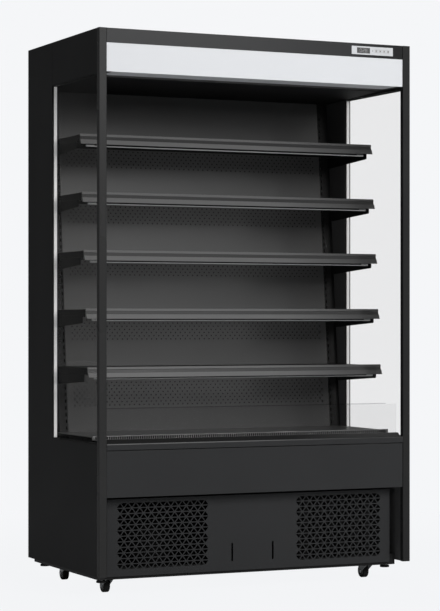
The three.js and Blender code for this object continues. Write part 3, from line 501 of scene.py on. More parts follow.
# Coated metal: a fine orange peel and a slow change of tone and gloss
def makeCoatingGroup():
    group, given, result = startGroup(
        "coatedMetal",
        {"Colour": (0.03, 0.03, 0.03, 1), "Grain Scale": 700, "Mottle Scale": 3, "Mottle": 0.1,
         "Roughness Low": 0.4, "Roughness High": 0.5},
        ("Colour", "Roughness", "Height"))
    place = group.nodes.new("ShaderNodeTexCoord").outputs["Object"]
    grain = noiseOf(group, place, given["Grain Scale"], detail=3)
    mottle = noiseOf(group, place, given["Mottle Scale"], detail=4)
    darker = mathNode(group, "SUBTRACT", 1, given["Mottle"])
    lighter = mathNode(group, "ADD", 1, given["Mottle"])
    shadeColour(group, given, result, rangeOf(group, mottle, darker, lighter))
    roughenBy(group, given, result, mottle)
    group.links.new(grain, result["Height"])
    return group


# Drawn or rolled metal: fine lines along one axis
def makeBrushedGroup():
    group, given, result = startGroup(
        "brushedMetal",
        {"Colour": (0.5, 0.5, 0.5, 1), "Line Scale": 900, "Stretch": (0.02, 1, 1), "Tone Change": 0.15,
         "Roughness Low": 0.25, "Roughness High": 0.45},
        ("Colour", "Roughness", "Height"))
    place = group.nodes.new("ShaderNodeTexCoord").outputs["Object"]
    drawn = group.nodes.new("ShaderNodeVectorMath")
    drawn.operation = "MULTIPLY"
    group.links.new(place, drawn.inputs[0])
    group.links.new(given["Stretch"], drawn.inputs[1])
    lines = noiseOf(group, drawn.outputs["Vector"], given["Line Scale"], detail=2)
    darker = mathNode(group, "SUBTRACT", 1, given["Tone Change"])
    shadeColour(group, given, result, rangeOf(group, lines, darker, 1))
    roughenBy(group, given, result, lines)
    group.links.new(lines, result["Height"])
    return group


# Painted light and shade: a tone that changes towards the cabinet's right end, in place of light that falls
# off across it
def makePaintedFadeGroup():
    group, given, result = startGroup(
        "paintedLightAcross", {"Colour": (0.1, 0.1, 0.1, 1), "Start": 0, "End": 0.6, "Share": 0.5}, ("Colour",))
    place = group.nodes.new("ShaderNodeTexCoord").outputs["Object"]
    across = group.nodes.new("ShaderNodeSeparateXYZ")
    group.links.new(place, across.inputs[0])
    fall = rangeOf(group, across.outputs["X"], 1, given["Share"])
    span = fall.node
    span.interpolation_type = "SMOOTHSTEP"
    group.links.new(given["Start"], span.inputs["From Min"])
    group.links.new(given["End"], span.inputs["From Max"])
    shadeColour(group, given, result, fall)
    return group


coatedMetal = makeCoatingGroup()
brushedMetal = makeBrushedGroup()
paintedLightAcross = makePaintedFadeGroup()


def patternedFinish(name, group, settings, bump, metal=0.0, gloss=0.5, glow=0.0):
    finish, tree, shader = startMaterial(name)
    pattern = tree.nodes.new("ShaderNodeGroup")
    pattern.node_tree = group
    for key, value in settings.items():
        pattern.inputs[key].default_value = value
    strength, distance = bump
    relief = addNode(tree, "ShaderNodeBump", Strength=strength, Distance=distance)
    tree.links.new(pattern.outputs["Colour"], shader.inputs["Base Color"])
    tree.links.new(pattern.outputs["Roughness"], shader.inputs["Roughness"])
    tree.links.new(pattern.outputs["Height"], relief.inputs["Height"])
    tree.links.new(relief.outputs["Normal"], shader.inputs["Normal"])
    shader.inputs["Metallic"].default_value = metal
    shader.inputs["Specular IOR Level"].default_value = gloss
    if glow:
        shader.inputs["Emission Color"].default_value = settings["Colour"]
        shader.inputs["Emission Strength"].default_value = glow
    return finish


bumps = {"peel": 0.1 * mm, "lines": (0.1, 0.05 * mm)}
plainGrey = (1, 1, 1)
coolGrey = (0.985, 1, 1.03)


def surfaceOf(tone, tint, roughness):
    smoothest, roughest = roughness
    colour = (*(tone * share for share in tint), 1)
    return {"Colour": colour, "Roughness Low": smoothest, "Roughness High": roughest}


def coated(name, tone, gloss, roughness, tint=plainGrey, grain=700, mottle=0.08, bump=0.15, glow=0.0):
    settings = {**surfaceOf(tone, tint, roughness), "Grain Scale": grain, "Mottle": mottle}
    return patternedFinish(name, coatedMetal, settings, (bump, bumps["peel"]), gloss=gloss, glow=glow)


def brushed(name, tone, roughness, metal=1.0, stretch=(0.02, 1, 1), tint=plainGrey, gloss=0.5):
    settings = {**surfaceOf(tone, tint, roughness), "Stretch": stretch}
    return patternedFinish(name, brushedMetal, settings, bumps["lines"], metal=metal, gloss=gloss)


# Paints light and shade onto a finish: its colour changes towards the cabinet's right end
def addPaintedFade(finish, start, end, share):
    tree = finish.node_tree
    fade = tree.nodes.new("ShaderNodeGroup")
    fade.node_tree = paintedLightAcross
    for key, value in (("Start", start), ("End", end), ("Share", share)):
        fade.inputs[key].default_value = value
    colour = tree.nodes["Principled BSDF"].inputs["Base Color"]
    tree.links.new(colour.links[0].from_socket, fade.inputs["Colour"])
    tree.links.new(fade.outputs["Colour"], colour)
    return finish


glassIor = 1.03  # weak, because the windows show neither reflections nor haze


# Clear glass. Light for shadows and soft bounces goes straight through it.
def makeGlass(name, tint):
    finish, tree, shader = startMaterial(name)
    shader.inputs["Base Color"].default_value = tint
    shader.inputs["Roughness"].default_value = 0
    shader.inputs["IOR"].default_value = glassIor
    shader.inputs["Transmission Weight"].default_value = 1
    clear = addNode(tree, "ShaderNodeBsdfTransparent", Color=tint)
    rays = tree.nodes.new("ShaderNodeLightPath").outputs
    either = mathNode(tree, "MAXIMUM", rays["Is Shadow Ray"], rays["Is Diffuse Ray"])
    mixShaders(tree, either, shader, clear)
    return finish


finishes = {
    # the same charcoal as the front with a darker tone: painted shade on the sides, back and top
    "wall": coated("charcoalWallWithPaintedShade", 0.02, 0.06, (0.45, 0.6)),
    # the post's paint gets darker towards the right end: painted shade
    "post": addPaintedFade(coated("charcoalPostWithPaintedShade", 0.031, 0.06, (0.24, 0.3)), 0, 0.6, 0.75),
    "front": coated("charcoalFrontPaint", 0.034, 0.06, (0.22, 0.28), coolGrey),
    # the fascia's paint gets darker towards the right end: painted reflection
    "fascia": addPaintedFade(coated("charcoalFasciaWithPaintedReflection", 0.033, 0.07, (0.22, 0.28), coolGrey), 0.35, 0.6, 0.55),
    # painted shade on the ledge's slope, lighter towards the right end
    "slope": addPaintedFade(coated("ledgeSlopePaintedShade", 0.018, 0.04, (0.4, 0.5)), 0.1, 0.5, 2.4),
    # painted highlight on the ledge's round fold, fading towards the right end
    "foldHighlight": addPaintedFade(coated("ledgeFoldPaintedHighlight", 0.12, 0.2, (0.3, 0.4)), -0.2, 0.5, 0.35),
    "inner": coated("charcoalInnerPaint", 0.072, 0.1, (0.26, 0.34)),
    # painted shade for the back corners, used on the uprights
    "corner": coated("cornerPaintedShade", 0.015, 0.1, (0.42, 0.55)),
    "liner": coated("darkLinerPaint", 0.085, 0.1, (0.42, 0.55)),
    # painted light: the strip's light grey stands in for light from below
    "canopy": coated("canopyStripPaintedLight", 0.6, 0.15, (0.45, 0.55), coolGrey),
    "outlet": coated("greyOutletPlastic", 0.12, 0.2, (0.5, 0.6), grain=1200),
    # painted shade: the canopy behind the strip is near black for the shade there
    "ceiling": coated("ceilingPaintedShade", 0.012, 0.1, (0.5, 0.6)),
    "shelf": coated("blackShelfPaint", 0.012, 0.1, (0.45, 0.55)),
    # the rail's grey gets darker towards the right end: painted shade
    "rail": addPaintedFade(coated("greyRailWithPaintedShade", 0.1, 0.22, (0.3, 0.4), mottle=0.04), 0.1, 0.62, 0.4),
    # painted shade in the price rail's ticket groove
    "grooveShade": coated("ticketGroovePaintedShade", 0.014, 0.3, (0.3, 0.4), mottle=0.04),
    "lens": coated("clearLampLens", 0.45, 0.5, (0.15, 0.22), mottle=0.2),
    "diffuser": coated("whiteDiffuser", 0.71, 0.3, (0.4, 0.5), coolGrey, mottle=0.01, bump=0.03),
    "plastic": coated("blackPlastic", 0.012, 0.25, (0.45, 0.6), grain=1200),
    "grille": coated("greyGrillePlastic", 0.16, 0.4, (0.3, 0.4), grain=1200),
    # black paint on the compressor, and painted shade in the grille's slots and on the sheet behind the back
    # wall's slots
    "pit": coated("blackPaintAndPaintedShade", 0.006, 0.05, (0.6, 0.7)),
    "steel": coated("blackSteelPaint", 0.012, 0.2, (0.4, 0.55), grain=500),
    "foil": coated("silverControlFoil", 0.6, 0.4, (0.3, 0.38), coolGrey, mottle=0.02, bump=0.03),
    "window": coated("smokedDisplayWindow", 0.09, 0.5, (0.08, 0.14), mottle=0.02, bump=0.01),
    "digit": coated("litDigit", 0.35, 0.2, (0.4, 0.5), glow=0.1),
    "key": coated("greyKeyPlastic", 0.5, 0.4, (0.35, 0.45), mottle=0.02, bump=0.05),
    "mark": coated("darkKeyMark", 0.02, 0.2, (0.5, 0.6)),
    "rubber": coated("blackRubber", 0.014, 0.25, (0.6, 0.8), grain=400, bump=0.3),
    "cheek": coated("greyWheelCore", 0.22, 0.35, (0.4, 0.5), grain=900),
    "sealant": coated("blackSealant", 0.01, 0.2, (0.5, 0.7), grain=500),
    "zinc": brushed("zincPlate", 0.62, (0.3, 0.45), metal=0.5, tint=(0.98, 1, 1.02)),
    # the spacer bar glows though it is no lamp: painted light
    "spacer": coated("paleSpacerBarPaintedGlow", 0.7, 0.3, (0.4, 0.5), mottle=0.03, glow=0.22),
    "fins": brushed("bareFinMetal", 0.5, (0.3, 0.45), stretch=(1, 1, 0.05)),
    # condenser fins near black: painted shade seen through the holes in front of them
    "condenser": brushed("finMetalPaintedShade", 0.007, (0.5, 0.6), metal=0.0, stretch=(1, 1, 0.05), gloss=0.05),
    "glass": makeGlass("clearGlass", (0.943, 0.94, 0.936, 1)),
    "riser": makeGlass("clearRiserSheet", (0.91, 0.91, 0.91, 1)),
    # painted dark reflection along the riser's top edge
    "bead": makeGlass("riserEdgePaintedReflection", (0.66, 0.66, 0.67, 1)),
}
print("finishes made")

# Side walls: the lower side is drawn forward out of the rear pillar
walls = {"edge": 1.2 * mm, "seam": 0.3 * mm}


def makeSidePanel(side):
    node = f"{side}_side_panel"
    low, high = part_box(node)
    glassLow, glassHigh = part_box(f"{side}_outer_pane")
    sill = glassLow.z - walls["seam"]
    pillarFront = glassHigh.y + walls["seam"]
    panel = blockBetween(f"{side}SidePanel", (low.x, pillarFront, low.z), high)
    sliceAcross(panel, (0, 0, sill), (0, 0, 1))
    pickFaces(panel, lambda centre, normal: normal.y < -mostly and centre.z < sill)
    pullOut((0, low.y - pillarFront, 0))
    softFit(panel, walls["edge"], ["wall", "liner"], [node])
    paintFaces(panel, lambda centre, normal: normal.x * sides[side] < -mostly)


def makeHeaderEnd(side):
    node = f"{side}_header_end"
    fitBlock(f"{side}HeaderEnd", *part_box(node), walls["edge"], "wall", "wall_paint", [node])


posts = {"corner": 3 * mm, "cornerSteps": 5, "edge": 0.5 * mm}


def makePost(side):
    node = f"{side}_front_post"
    low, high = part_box(node)
    post = blockBetween(f"{side}FrontPost", low, high)
    roundEdges(post, posts["corner"], posts["cornerSteps"],
               lambda middle, along: abs(along.z) > mostly and middle.y < low.y + hair)
    softFit(post, posts["edge"], "post", [node])


for side in sides:
    makeSidePanel(side)
    makeHeaderEnd(side)
    makePost(side)
print("walls and posts made")

# Side windows: two panes, and between them a black seal with a pale spacer bar at the rear. The bar glows as
# painted light
windows = {
    "edge": 0.6 * mm, "inset": 0.4 * mm, "bar": 2.5 * mm, "sealWide": 1.3 * mm, "sealEdge": 0.3 * mm,
    "sealFront": 8 * mm, "sealLow": 3 * mm, "sealHigh": 3 * mm,
}


def makePanes(side):
    outer, inner = f"{side}_outer_pane", f"{side}_inner_pane"
    outerLow, outerHigh = (corner.copy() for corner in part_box(outer))
    innerLow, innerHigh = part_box(inner)
    thickness = innerHigh.x - innerLow.x
    # the outer pane's CAD node has the spacer frame on it
    if side == "left":
        outerHigh.x = outerLow.x + thickness
        gap = (outerHigh.x, innerLow.x)
    else:
        outerLow.x = outerHigh.x - thickness
        gap = (innerHigh.x, outerLow.x)
    fitBlock(f"{side}OuterPane", outerLow, outerHigh, windows["edge"], "glass", "glass", [outer])
    fitBlock(f"{side}InnerPane", innerLow, innerHigh, windows["edge"], "glass", "glass", [inner])
    return gap


def makeWindow(side):
    gapLow, gapHigh = makePanes(side)
    x0, x1 = gapLow + hair, gapHigh - hair
    inset = Vector((0, windows["inset"], windows["inset"]))
    wholeLow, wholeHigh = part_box(f"{side}_outer_pane")
    low, high = wholeLow + inset, wholeHigh - inset
    seal = blockBetween(f"{side}WindowSeal", (x0, low.y, low.z), (x1, high.y, high.z))
    openLow, openHigh = low.z + windows["sealLow"], high.z - windows["sealHigh"]
    cutAway(seal, blockBetween(
        "opening", (x0 - past, low.y + windows["sealFront"], openLow), (x1 + past, high.y + past, openHigh)))
    barLow, barHigh = openLow + hair, openHigh - hair
    barFront, wide = high.y - windows["bar"], windows["sealWide"]
    for x in (x0, x1 - wide):
        joinPieces(seal, blockBetween("strip", (x, barFront - past, barLow), (x + wide, high.y, barHigh)))
    softFit(seal, windows["sealEdge"], "sealant")
    # The spacer bar's finish has a painted glow
    fitBlock(
        f"{side}WindowSpacer", (x0 + wide + hair, barFront, barLow), (x1 - wide - hair, high.y, barHigh),
        windows["sealEdge"], "spacer", "zinc")


for side in sides:
    makeWindow(side)
print("windows made")

# Header: fascia, light box, canopy with a grey strip in front, and its air outlet. The strip's light grey is
# painted light from below, the canopy behind it is painted near black for shade
header = {
    "edge": 0.7 * mm, "canopyEdge": 0.3 * mm, "outletEdge": 110 * mm, "stripHigh": 2 * mm,
    "stripHalf": 572 * mm,
}


def makeHeader():
    fitCopy("header_fascia", "headerFascia", header["edge"], "fascia")
    fitCopy("light_box_panel", "lightBoxDiffuser", header["edge"], "diffuser")
    canopy = softenedCopy("canopy_panel", "canopyPanel", header["canopyEdge"])
    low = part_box("canopy_panel")[0]
    lightLow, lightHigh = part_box("light_box_panel")
    half, edge = header["stripHalf"], frontY + header["outletEdge"]
    cutAway(canopy, blockBetween(
        "front", (-half - hair, low.y - past, low.z - past), (half + hair, edge, lightHigh.z)))
    # The canopy behind the strip is painted near black for shade, the strip light grey for light from below
    fit(canopy, "ceiling", ["canopy_panel"])
    fitBlock(
        "canopyFrontStrip", (-half, low.y, lightLow.z), (half, edge - hair, lightLow.z + header["stripHigh"]),
        header["canopyEdge"], "canopy", "canopy_paint")


# Six-sided cells that almost touch, a little lower than their rim
honeycomb = {"cell": 10 * mm, "wall": 0.5 * mm, "rim": 4 * mm, "share": 0.995, "lower": 1 * mm}


def makeHoneycomb():
    low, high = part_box("air_outlet_honeycomb")
    wall = honeycomb["rim"]
    rim = blockBetween("airOutletHoneycomb", low, high)
    cutAway(rim, blockBetween(
        "inside", (low.x + wall, low.y + wall, low.z - past), (high.x - wall, high.y - wall, high.z + past)))
    across = honeycomb["cell"]
    radius = across / math.sqrt(3)
    rise = 1.5 * radius
    columns = int((high.x - low.x - 2 * wall) / across) - 1
    rows = int((high.y - low.y - 2 * wall - 2 * radius) / rise) + 1
    startX = -(columns - 1) * across / 2
    startY = (low.y + high.y) / 2 - (rows - 1) * rise / 2
    middleZ = (low.z + high.z) / 2
    grids = []
    for shift in (0, 1):
        clearSelection()
        bpy.ops.mesh.primitive_cylinder_add(
            vertices=6, radius=radius * honeycomb["share"], depth=high.z - low.z - honeycomb["lower"],
            end_fill_type="NOTHING",
            location=(startX + (shift - 0.5) * across / 2, startY + shift * rise, middleZ))
        cell = settle(f"cells{shift}")
        applyModifier(cell, "SOLIDIFY", thickness=honeycomb["wall"], offset=-1)
        repeatAlong(cell, (across, 0, 0), columns)
        repeatAlong(cell, (0, 2 * rise, 0), (rows + 1 - shift) // 2)
        grids.append(cell)
    joinPieces(rim, *grids)
    fit(rim, "outlet", ["air_outlet_honeycomb"])


makeHeader()
makeHoneycomb()
print("header made")

# Control panel: plate with a display, an indicator and four keys
control = {
    "edge": 0.5 * mm, "windowHigh": 20.4 * mm, "windowWide": 54.4 * mm, "windowOffset": -37.5 * mm,
    "windowFace": 0.2 * mm, "windowBack": 0.55 * mm, "smallEdge": 0.1 * mm,
    "lamp": 1.6 * mm, "lampOffset": 1 * mm, "lampOut": 0.1 * mm, "lampDeep": 0.4 * mm, "lampSides": 16,
}
display = {
    "digits": "028", "high": 12 * mm, "wide": 7 * mm, "pitch": 11.5 * mm, "stroke": 1.1 * mm,
    "short": 1.3,  # strokes end this many half widths before the digit's corner
    "raised": 0.15 * mm, "edge": 0.05 * mm,
}
# The seven strokes of a digit: top, upper left, upper right, middle, lower left, lower right, bottom
strokesOf = {"0": (0, 1, 2, 4, 5, 6), "2": (0, 2, 3, 4, 6), "8": (0, 1, 2, 3, 4, 5, 6)}


def makeDigits(centreX, faceY, centreZ):
    half, wide, stroke = (display[key] / 2 for key in ("high", "wide", "stroke"))
    level, upright = wide - stroke * display["short"], half / 2 - stroke * display["short"]
    bars = []
    for place, digit in enumerate(display["digits"]):
        x = centreX + (place - len(display["digits"]) // 2) * display["pitch"]
        left, right = x - wide, x + wide
        top, bottom = centreZ + half, centreZ - half
        upper, lower = centreZ + half / 2, centreZ - half / 2
        layout = [
            (x, top, True), (left, upper, False), (right, upper, False), (x, centreZ, True),
            (left, lower, False), (right, lower, False), (x, bottom, True)]
        for barX, barZ, flat in (layout[index] for index in strokesOf[digit]):
            reachX, reachZ = (level, stroke) if flat else (stroke, upright)
            bars.append(blockBetween(
                "stroke", (barX - reachX, faceY - display["raised"], barZ - reachZ),
                (barX + reachX, faceY, barZ + reachZ)))
    digits = joinPieces(*bars)
    digits.name = "displayDigits"
    softFit(digits, display["edge"], "digit", steps=1)


def makeControl():
    fitCopy("controller", "controlPlate", control["edge"], "foil")
    low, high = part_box("controller")
    centreX, centreZ = (low.x + high.x) / 2, (low.z + high.z) / 2
    windowX = centreX + control["windowOffset"]
    halfWide, halfHigh = control["windowWide"] / 2, control["windowHigh"] / 2
    faceY = low.y + control["windowFace"]
    fitBlock(
        "displayWindow", (windowX - halfWide, faceY, centreZ - halfHigh),
        (windowX + halfWide, low.y + control["windowBack"], centreZ + halfHigh),
        control["smallEdge"], "window", "dark_plastic")
    makeDigits(windowX, faceY, centreZ)
    lamp = roundBar(
        "statusLamp", (centreX + control["lampOffset"], low.y - control["lampOut"], centreZ),
        control["lamp"], control["lampDeep"], "Y", control["lampSides"])
    softFit(lamp, control["smallEdge"], "mark")


# Keys with marks on them: a plus, a triangle up, a triangle down and a ring
keys = {
    "edge": 0.6 * mm, "edgeSteps": 3, "raised": 0.15 * mm, "reach": 2.6 * mm, "stroke": 0.6 * mm,
    "markEdge": 0.04 * mm,
}


def makeKeyMark(number, middle):
    raised, reach, stroke = keys["raised"], keys["reach"], keys["stroke"]
    x, y, z = middle
    if number == 1:
        mark = blockBetween("mark", (x - reach, y - raised, z - stroke), (x + reach, y + raised, z + stroke))
        fuse(mark, blockBetween(
            "upright", (x - stroke, y - raised, z - reach), (x + stroke, y + raised, z + reach)))
    elif number in (2, 3):
        clearSelection()
        tip = math.pi if number == 3 else 0
        bpy.ops.mesh.primitive_cylinder_add(
            vertices=3, radius=reach, depth=2 * raised, location=middle, rotation=(math.pi / 2, tip, 0))
        mark = settle("mark")
    else:
        mark = roundBar("mark", middle, reach, 2 * raised, "Y")
        cutAway(mark, roundBar("inside", middle, reach - 2 * stroke, 4 * raised, "Y"))
    mark.name = f"keyMark{number}"
    softFit(mark, keys["markEdge"], "mark", body=f"key_{number}", steps=1)


def makeKeys():
    for number in range(1, 5):
        node = f"key_{number}"
        low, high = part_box(node)
        fitCopy(node, f"controlKey{number}", keys["edge"], "key", keys["edgeSteps"], body=node)
        makeKeyMark(number, Vector(((low.x + high.x) / 2, low.y, (low.z + high.z) / 2)))


makeControl()
makeKeys()
print("control panel made")

# Base front: middle panel, ledge with a clear riser on it, and the punched lower panel
middlePanelEdge = 1.5 * mm
ledge = {
    "high": 24 * mm, "deep": 20 * mm, "sheet": 2 * mm, "corner": 4 * mm, "cornerSteps": 8,
    "slope": (17 * mm, 13 * mm), "shelf": 20 * mm, "edge": 0.4 * mm, "gap": 1.5 * mm, "seam": 0.5 * mm,
    "slopeUp": 0.5, "foldTurn": 0.2,
}


# The ledge's front is folded with a round corner, then the sheet goes up a slope and on as a narrow shelf.
def makeLedge():
    low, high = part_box("front_ledge")
    top, rearEnd, sheet = low.z + ledge["high"], low.y + ledge["deep"], ledge["sheet"]
    low.z += ledge["gap"]
    piece = blockBetween("frontLedge", low, (high.x, rearEnd, top))
    inside = blockBetween(
        "inside", (low.x - past, low.y + sheet, low.z - past), (high.x + past, rearEnd + past, top - sheet))
    for block, radius in ((piece, ledge["corner"]), (inside, ledge["corner"] - sheet)):
        near = min(corner.co.y for corner in block.data.vertices)
        roundEdges(block, radius, ledge["cornerSteps"],
                   lambda centre, along: abs(along.x) > mostly and centre.y < near + hair
                   and centre.z > top - sheet - past)
    cutAway(piece, inside)
    pickFaces(piece, lambda centre, normal: normal.y > mostly and centre.y > rearEnd - hair)
    pullOut((0, *ledge["slope"]))
    slopeEnd = rearEnd + ledge["slope"][0]
    pickFaces(piece, lambda centre, normal: normal.y > mostly and centre.y > slopeEnd - hair)
    pullOut((0, ledge["shelf"], 0))
    softFit(piece, ledge["edge"], ["front", "slope", "foldHighlight"], ["front_ledge"])
    slopeFrom, slopeTo = rearEnd + ledge["seam"], slopeEnd - ledge["seam"]

    # The slope's faces take painted shade, the round fold's upper faces a painted highlight
    def finishNumber(centre, normal):
        onShadedSlope = slopeFrom < centre.y < slopeTo and normal.z > ledge["slopeUp"]
        onHighlightedFold = centre.y < low.y + ledge["corner"] and min(normal.z, -normal.y) > ledge["foldTurn"]
        return 1 if onShadedSlope else 2 if onHighlightedFold else 0

    paintFaces(piece, finishNumber)


# A clear riser stands on the ledge and keeps goods in. A grey glass band along its top edge is a painted dark
# reflection.
riser = {
    "back": 3 * mm, "thick": 5 * mm, "top": 666 * mm, "bead": 3.4 * mm, "darkBandFrom": -590 * mm,
    "darkBandTo": 548 * mm, "edge": 0.8 * mm, "side": 1 * mm, "gap": 0.05 * mm,
}


def makeRiser():
    low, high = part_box("front_ledge")
    y1 = high.y - riser["back"]
    y0 = y1 - riser["thick"]
    darkBandFoot = riser["top"] - riser["bead"]
    fitBlock(
        "clearRiser", (low.x + riser["side"], y0, high.z + hair),
        (high.x - riser["side"], y1, darkBandFoot - riser["gap"]), riser["edge"], "riser", "glass")
    fitBlock(
        "riserTopPaintedReflection", (riser["darkBandFrom"], y0, darkBandFoot), (riser["darkBandTo"], y1, riser["top"]),
        riser["edge"], "bead", "glass")


# Triangular holes point up and down by turns, in two fields, with two upright slots between them
punching = {
    "columns": 23, "rows": 12, "columnPitch": 15.1 * mm, "rowPitch": 19.8 * mm, "bar": 3.8 * mm,
    "fieldCentre": 355 * mm, "fieldTop": 330 * mm, "corner": 1 * mm, "cornerSteps": 2, "sheet": 1.5 * mm,
    "atEnd": 6 * mm, "atTop": 3 * mm, "depth": 8 * mm,
    "slotX": 82 * mm, "slotWidth": 7 * mm, "slotLow": 102 * mm, "slotHigh": 169 * mm, "slotRound": 0.95,
    "slotSteps": 4,
}


def trianglePunch(x, y, z, pointsUp):
    pitch, rise = punching["columnPitch"], punching["rowPitch"]
    inscribed = pitch * rise / (pitch + math.hypot(pitch, rise))
    share = 1 - punching["bar"] / 2 / inscribed
    turn = 1 if pointsUp else -1
    wide, tall = 2 * pitch * share, rise * share
    # the hole's own centre of gravity, a third of its height above its base
    base = z - turn * (rise / 2 - inscribed) - turn * inscribed * share
    middle = base + turn * tall / 3
    clearSelection()
    bpy.ops.mesh.primitive_cylinder_add(
        vertices=3, radius=1, depth=punching["depth"], location=(x, y, middle), rotation=(math.pi / 2, 0, 0),
        scale=(wide / math.sqrt(3), turn * tall / 1.5, 1))
    punch = settle("punch")
    pickEdges(punch, frontToBack)
    bpy.ops.mesh.bevel(offset=punching["corner"], segments=punching["cornerSteps"], affect="EDGES")
    bpy.ops.mesh.select_all(action="SELECT")
    bpy.ops.mesh.normals_make_consistent(inside=False)
    leaveEditing()
    return punch


def makeLowerPanel():
    low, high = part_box("lower_grille_panel")
    low.x, high.x, high.z = low.x + punching["atEnd"], high.x - punching["atEnd"], high.z - punching["atTop"]
    panel = blockBetween("punchedLowerPanel", low, high)
    sheet, depth = punching["sheet"], punching["depth"]
    cutAway(panel, blockBetween(
        "inside", (low.x + sheet, low.y + sheet, low.z + sheet),
        (high.x - sheet, high.y + past, high.z - sheet)))
    columns, rows = punching["columns"], punching["rows"]
    pitch, rise = punching["columnPitch"], punching["rowPitch"]
    punches = []
    for row in (0, 1):
        for column in (0, 1):
            x = -punching["fieldCentre"] + (column - (columns - 1) / 2) * pitch
            z = punching["fieldTop"] - (row + 0.5) * rise
            punch = trianglePunch(x, low.y + sheet / 2, z, row == column)
            repeatAlong(punch, (2 * pitch, 0, 0), (columns + 1 - column) // 2)
            repeatAlong(punch, (0, 0, -2 * rise), rows // 2)
            punches.append(punch)
    field = joinPieces(*punches)
    otherField = copyOf(field, "otherField", (2 * punching["fieldCentre"], 0, 0))
    cutAway(panel, field, otherField)
    half = punching["slotWidth"] / 2
    for x in (-punching["slotX"], punching["slotX"]):
        slot = blockBetween(
            "slot", (x - half, low.y - depth, punching["slotLow"]),
            (x + half, low.y + depth, punching["slotHigh"]))
        roundEdges(slot, half * punching["slotRound"], punching["slotSteps"], frontToBack)
        cutAway(panel, slot)
    fit(panel, "front", ["lower_grille_panel"])


fitCopy("mid_front_panel", "middleFrontPanel", middlePanelEdge, "front")
makeLedge()
makeRiser()
makeLowerPanel()
print("base front made")

# Deck: pan, and the air return in front of it, a low cover with a comb standing at its rear
panEdge = 0.8 * mm
airReturn = {
    "pitch": 8.5 * mm, "slot": 5 * mm, "margin": 8 * mm, "sheet": 2 * mm, "comb": 5 * mm, "combHigh": 13 * mm,
    "slotFoot": 1 * mm, "slotTop": 3.2 * mm, "slotDeep": 4 * mm, "lip": 1.4 * mm, "lipSteps": 3,
    "skin": 0.5 * mm,
}


def makeAirReturn():
    low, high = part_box("return_air_grille")
    sheet = airReturn["sheet"]
    grille = blockBetween("returnAirGrille", low, high)
    front = high.y - airReturn["comb"]
    plate = high.z - airReturn["combHigh"]
    above = blockBetween("above", (low.x - past, low.y - past, plate), (high.x + past, front, high.z + past))
    inside = blockBetween(
        "inside", (low.x - past, low.y + sheet, low.z - past), (high.x + past, high.y - sheet, plate - sheet))
    cutAway(grille, above, inside)
    count = int((high.x - low.x - 2 * airReturn["margin"]) / airReturn["pitch"])
    startX = -(count - 1) * airReturn["pitch"] / 2
    half = airReturn["slot"] / 2
    slotTop = high.z - airReturn["slotTop"]
    slots = blockBetween(
        "slots", (startX - half, front - past, plate + airReturn["slotFoot"]),
        (startX + half, front + airReturn["slotDeep"], slotTop))
    repeatAlong(slots, (airReturn["pitch"], 0, 0), count)
    cutAway(grille, slots)
    roundEdges(grille, airReturn["lip"], airReturn["lipSteps"],
               lambda centre, along: abs(along.x) > mostly and centre.z > high.z - hair)
    fit(grille, ["grille", "pit"], ["return_air_grille"])

    # The slots' back faces and the faces under the plate take painted shade
    def inPaintedShade(centre, normal):
        inSlot = front + hair < centre.y < high.y - airReturn["skin"] and centre.z < slotTop + hair
        return inSlot or centre.z < plate + hair

    paintFaces(grille, inPaintedShade)


makeAirReturn()
fitCopy("deck_pan", "deckPan", panEdge, "inner")
print("deck made")

# The back panel is one sheet to look at, with a band of staggered holes high in each of the lower five bays.
perforation = {
    "hole": 3.2 * mm, "holeSides": 6, "punch": 12 * mm, "columnPitch": 20 * mm, "rowPitch": 12 * mm,
    "rowsInBand": 8, "bandStarts": [657.4 * mm, 904.5 * mm, 1147.4 * mm, 1344.4 * mm, 1556 * mm],
    "margin": 14 * mm, "sheet": 1 * mm, "edge": 0.4 * mm, "edgeSteps": 2, "flange": 18 * mm,
}


def makeBackPanel():
    low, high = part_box("lower_duct_panel")[0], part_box("upper_duct_panel")[1]
    sheet, flange = perforation["sheet"], perforation["flange"]
    panel = leaningBlock("perforatedBackPanel", low.x, high.x, 0, flange, low.z, high.z)
    cutAway(panel, leaningBlock(
        "inside", low.x + sheet, high.x - sheet, sheet, flange + past, low.z - past, high.z + past))
    roundEdges(panel, perforation["edge"], perforation["edgeSteps"],
               lambda centre, along: centre.y < backPlane(centre.z) + hair)
    pitch, rise = perforation["columnPitch"], perforation["rowPitch"]
    columns = int((high.x - low.x - 2 * perforation["margin"]) / pitch)
    lowest = perforation["bandStarts"][0]
    rows = []
    for shift in (0, 1):
        x = -(columns - 1) * pitch / 2 + shift * pitch / 2
        z = lowest + shift * rise
        row = roundBar(
            "holes", (x, backPlane(z), z), perforation["hole"], perforation["punch"], "Y",
            perforation["holeSides"])
        repeatAlong(row, (pitch, 0, 0), columns - shift)
        repeatAlong(row, (0, lean * 2 * rise, 2 * rise), perforation["rowsInBand"] // 2)
        rows.append(row)
    bands = [joinPieces(*rows)]
    for start in perforation["bandStarts"][1:]:
        up = start - lowest
        bands.append(copyOf(bands[0], "band", (0, lean * up, up)))
    cutAway(panel, joinPieces(*bands))
    fit(panel, "inner", ["lower_duct_panel", "upper_duct_panel"])


makeBackPanel()
print("back panel made")

# Uprights: a slotted strip flush with the back panel, a recess beside it, and a bracket for every shelf
uprights = {
    "face": 34 * mm, "recess": 12 * mm, "sheet": 2 * mm, "depth": 18 * mm, "edge": 0.5 * mm,
    "slotPitch": 25 * mm, "slotWidth": 4 * mm, "slotHeight": 13 * mm, "slotInset": 4.5 * mm, "punch": 3 * mm,
}
brackets = {
    "sheet": 3 * mm, "inset": 47 * mm, "noseDrop": 15 * mm, "heelDrop": 33 * mm, "nose": 5 * mm,
    "noseSteps": 4, "flange": 14 * mm, "top": 11.7 * mm, "short": 2 * mm,
}


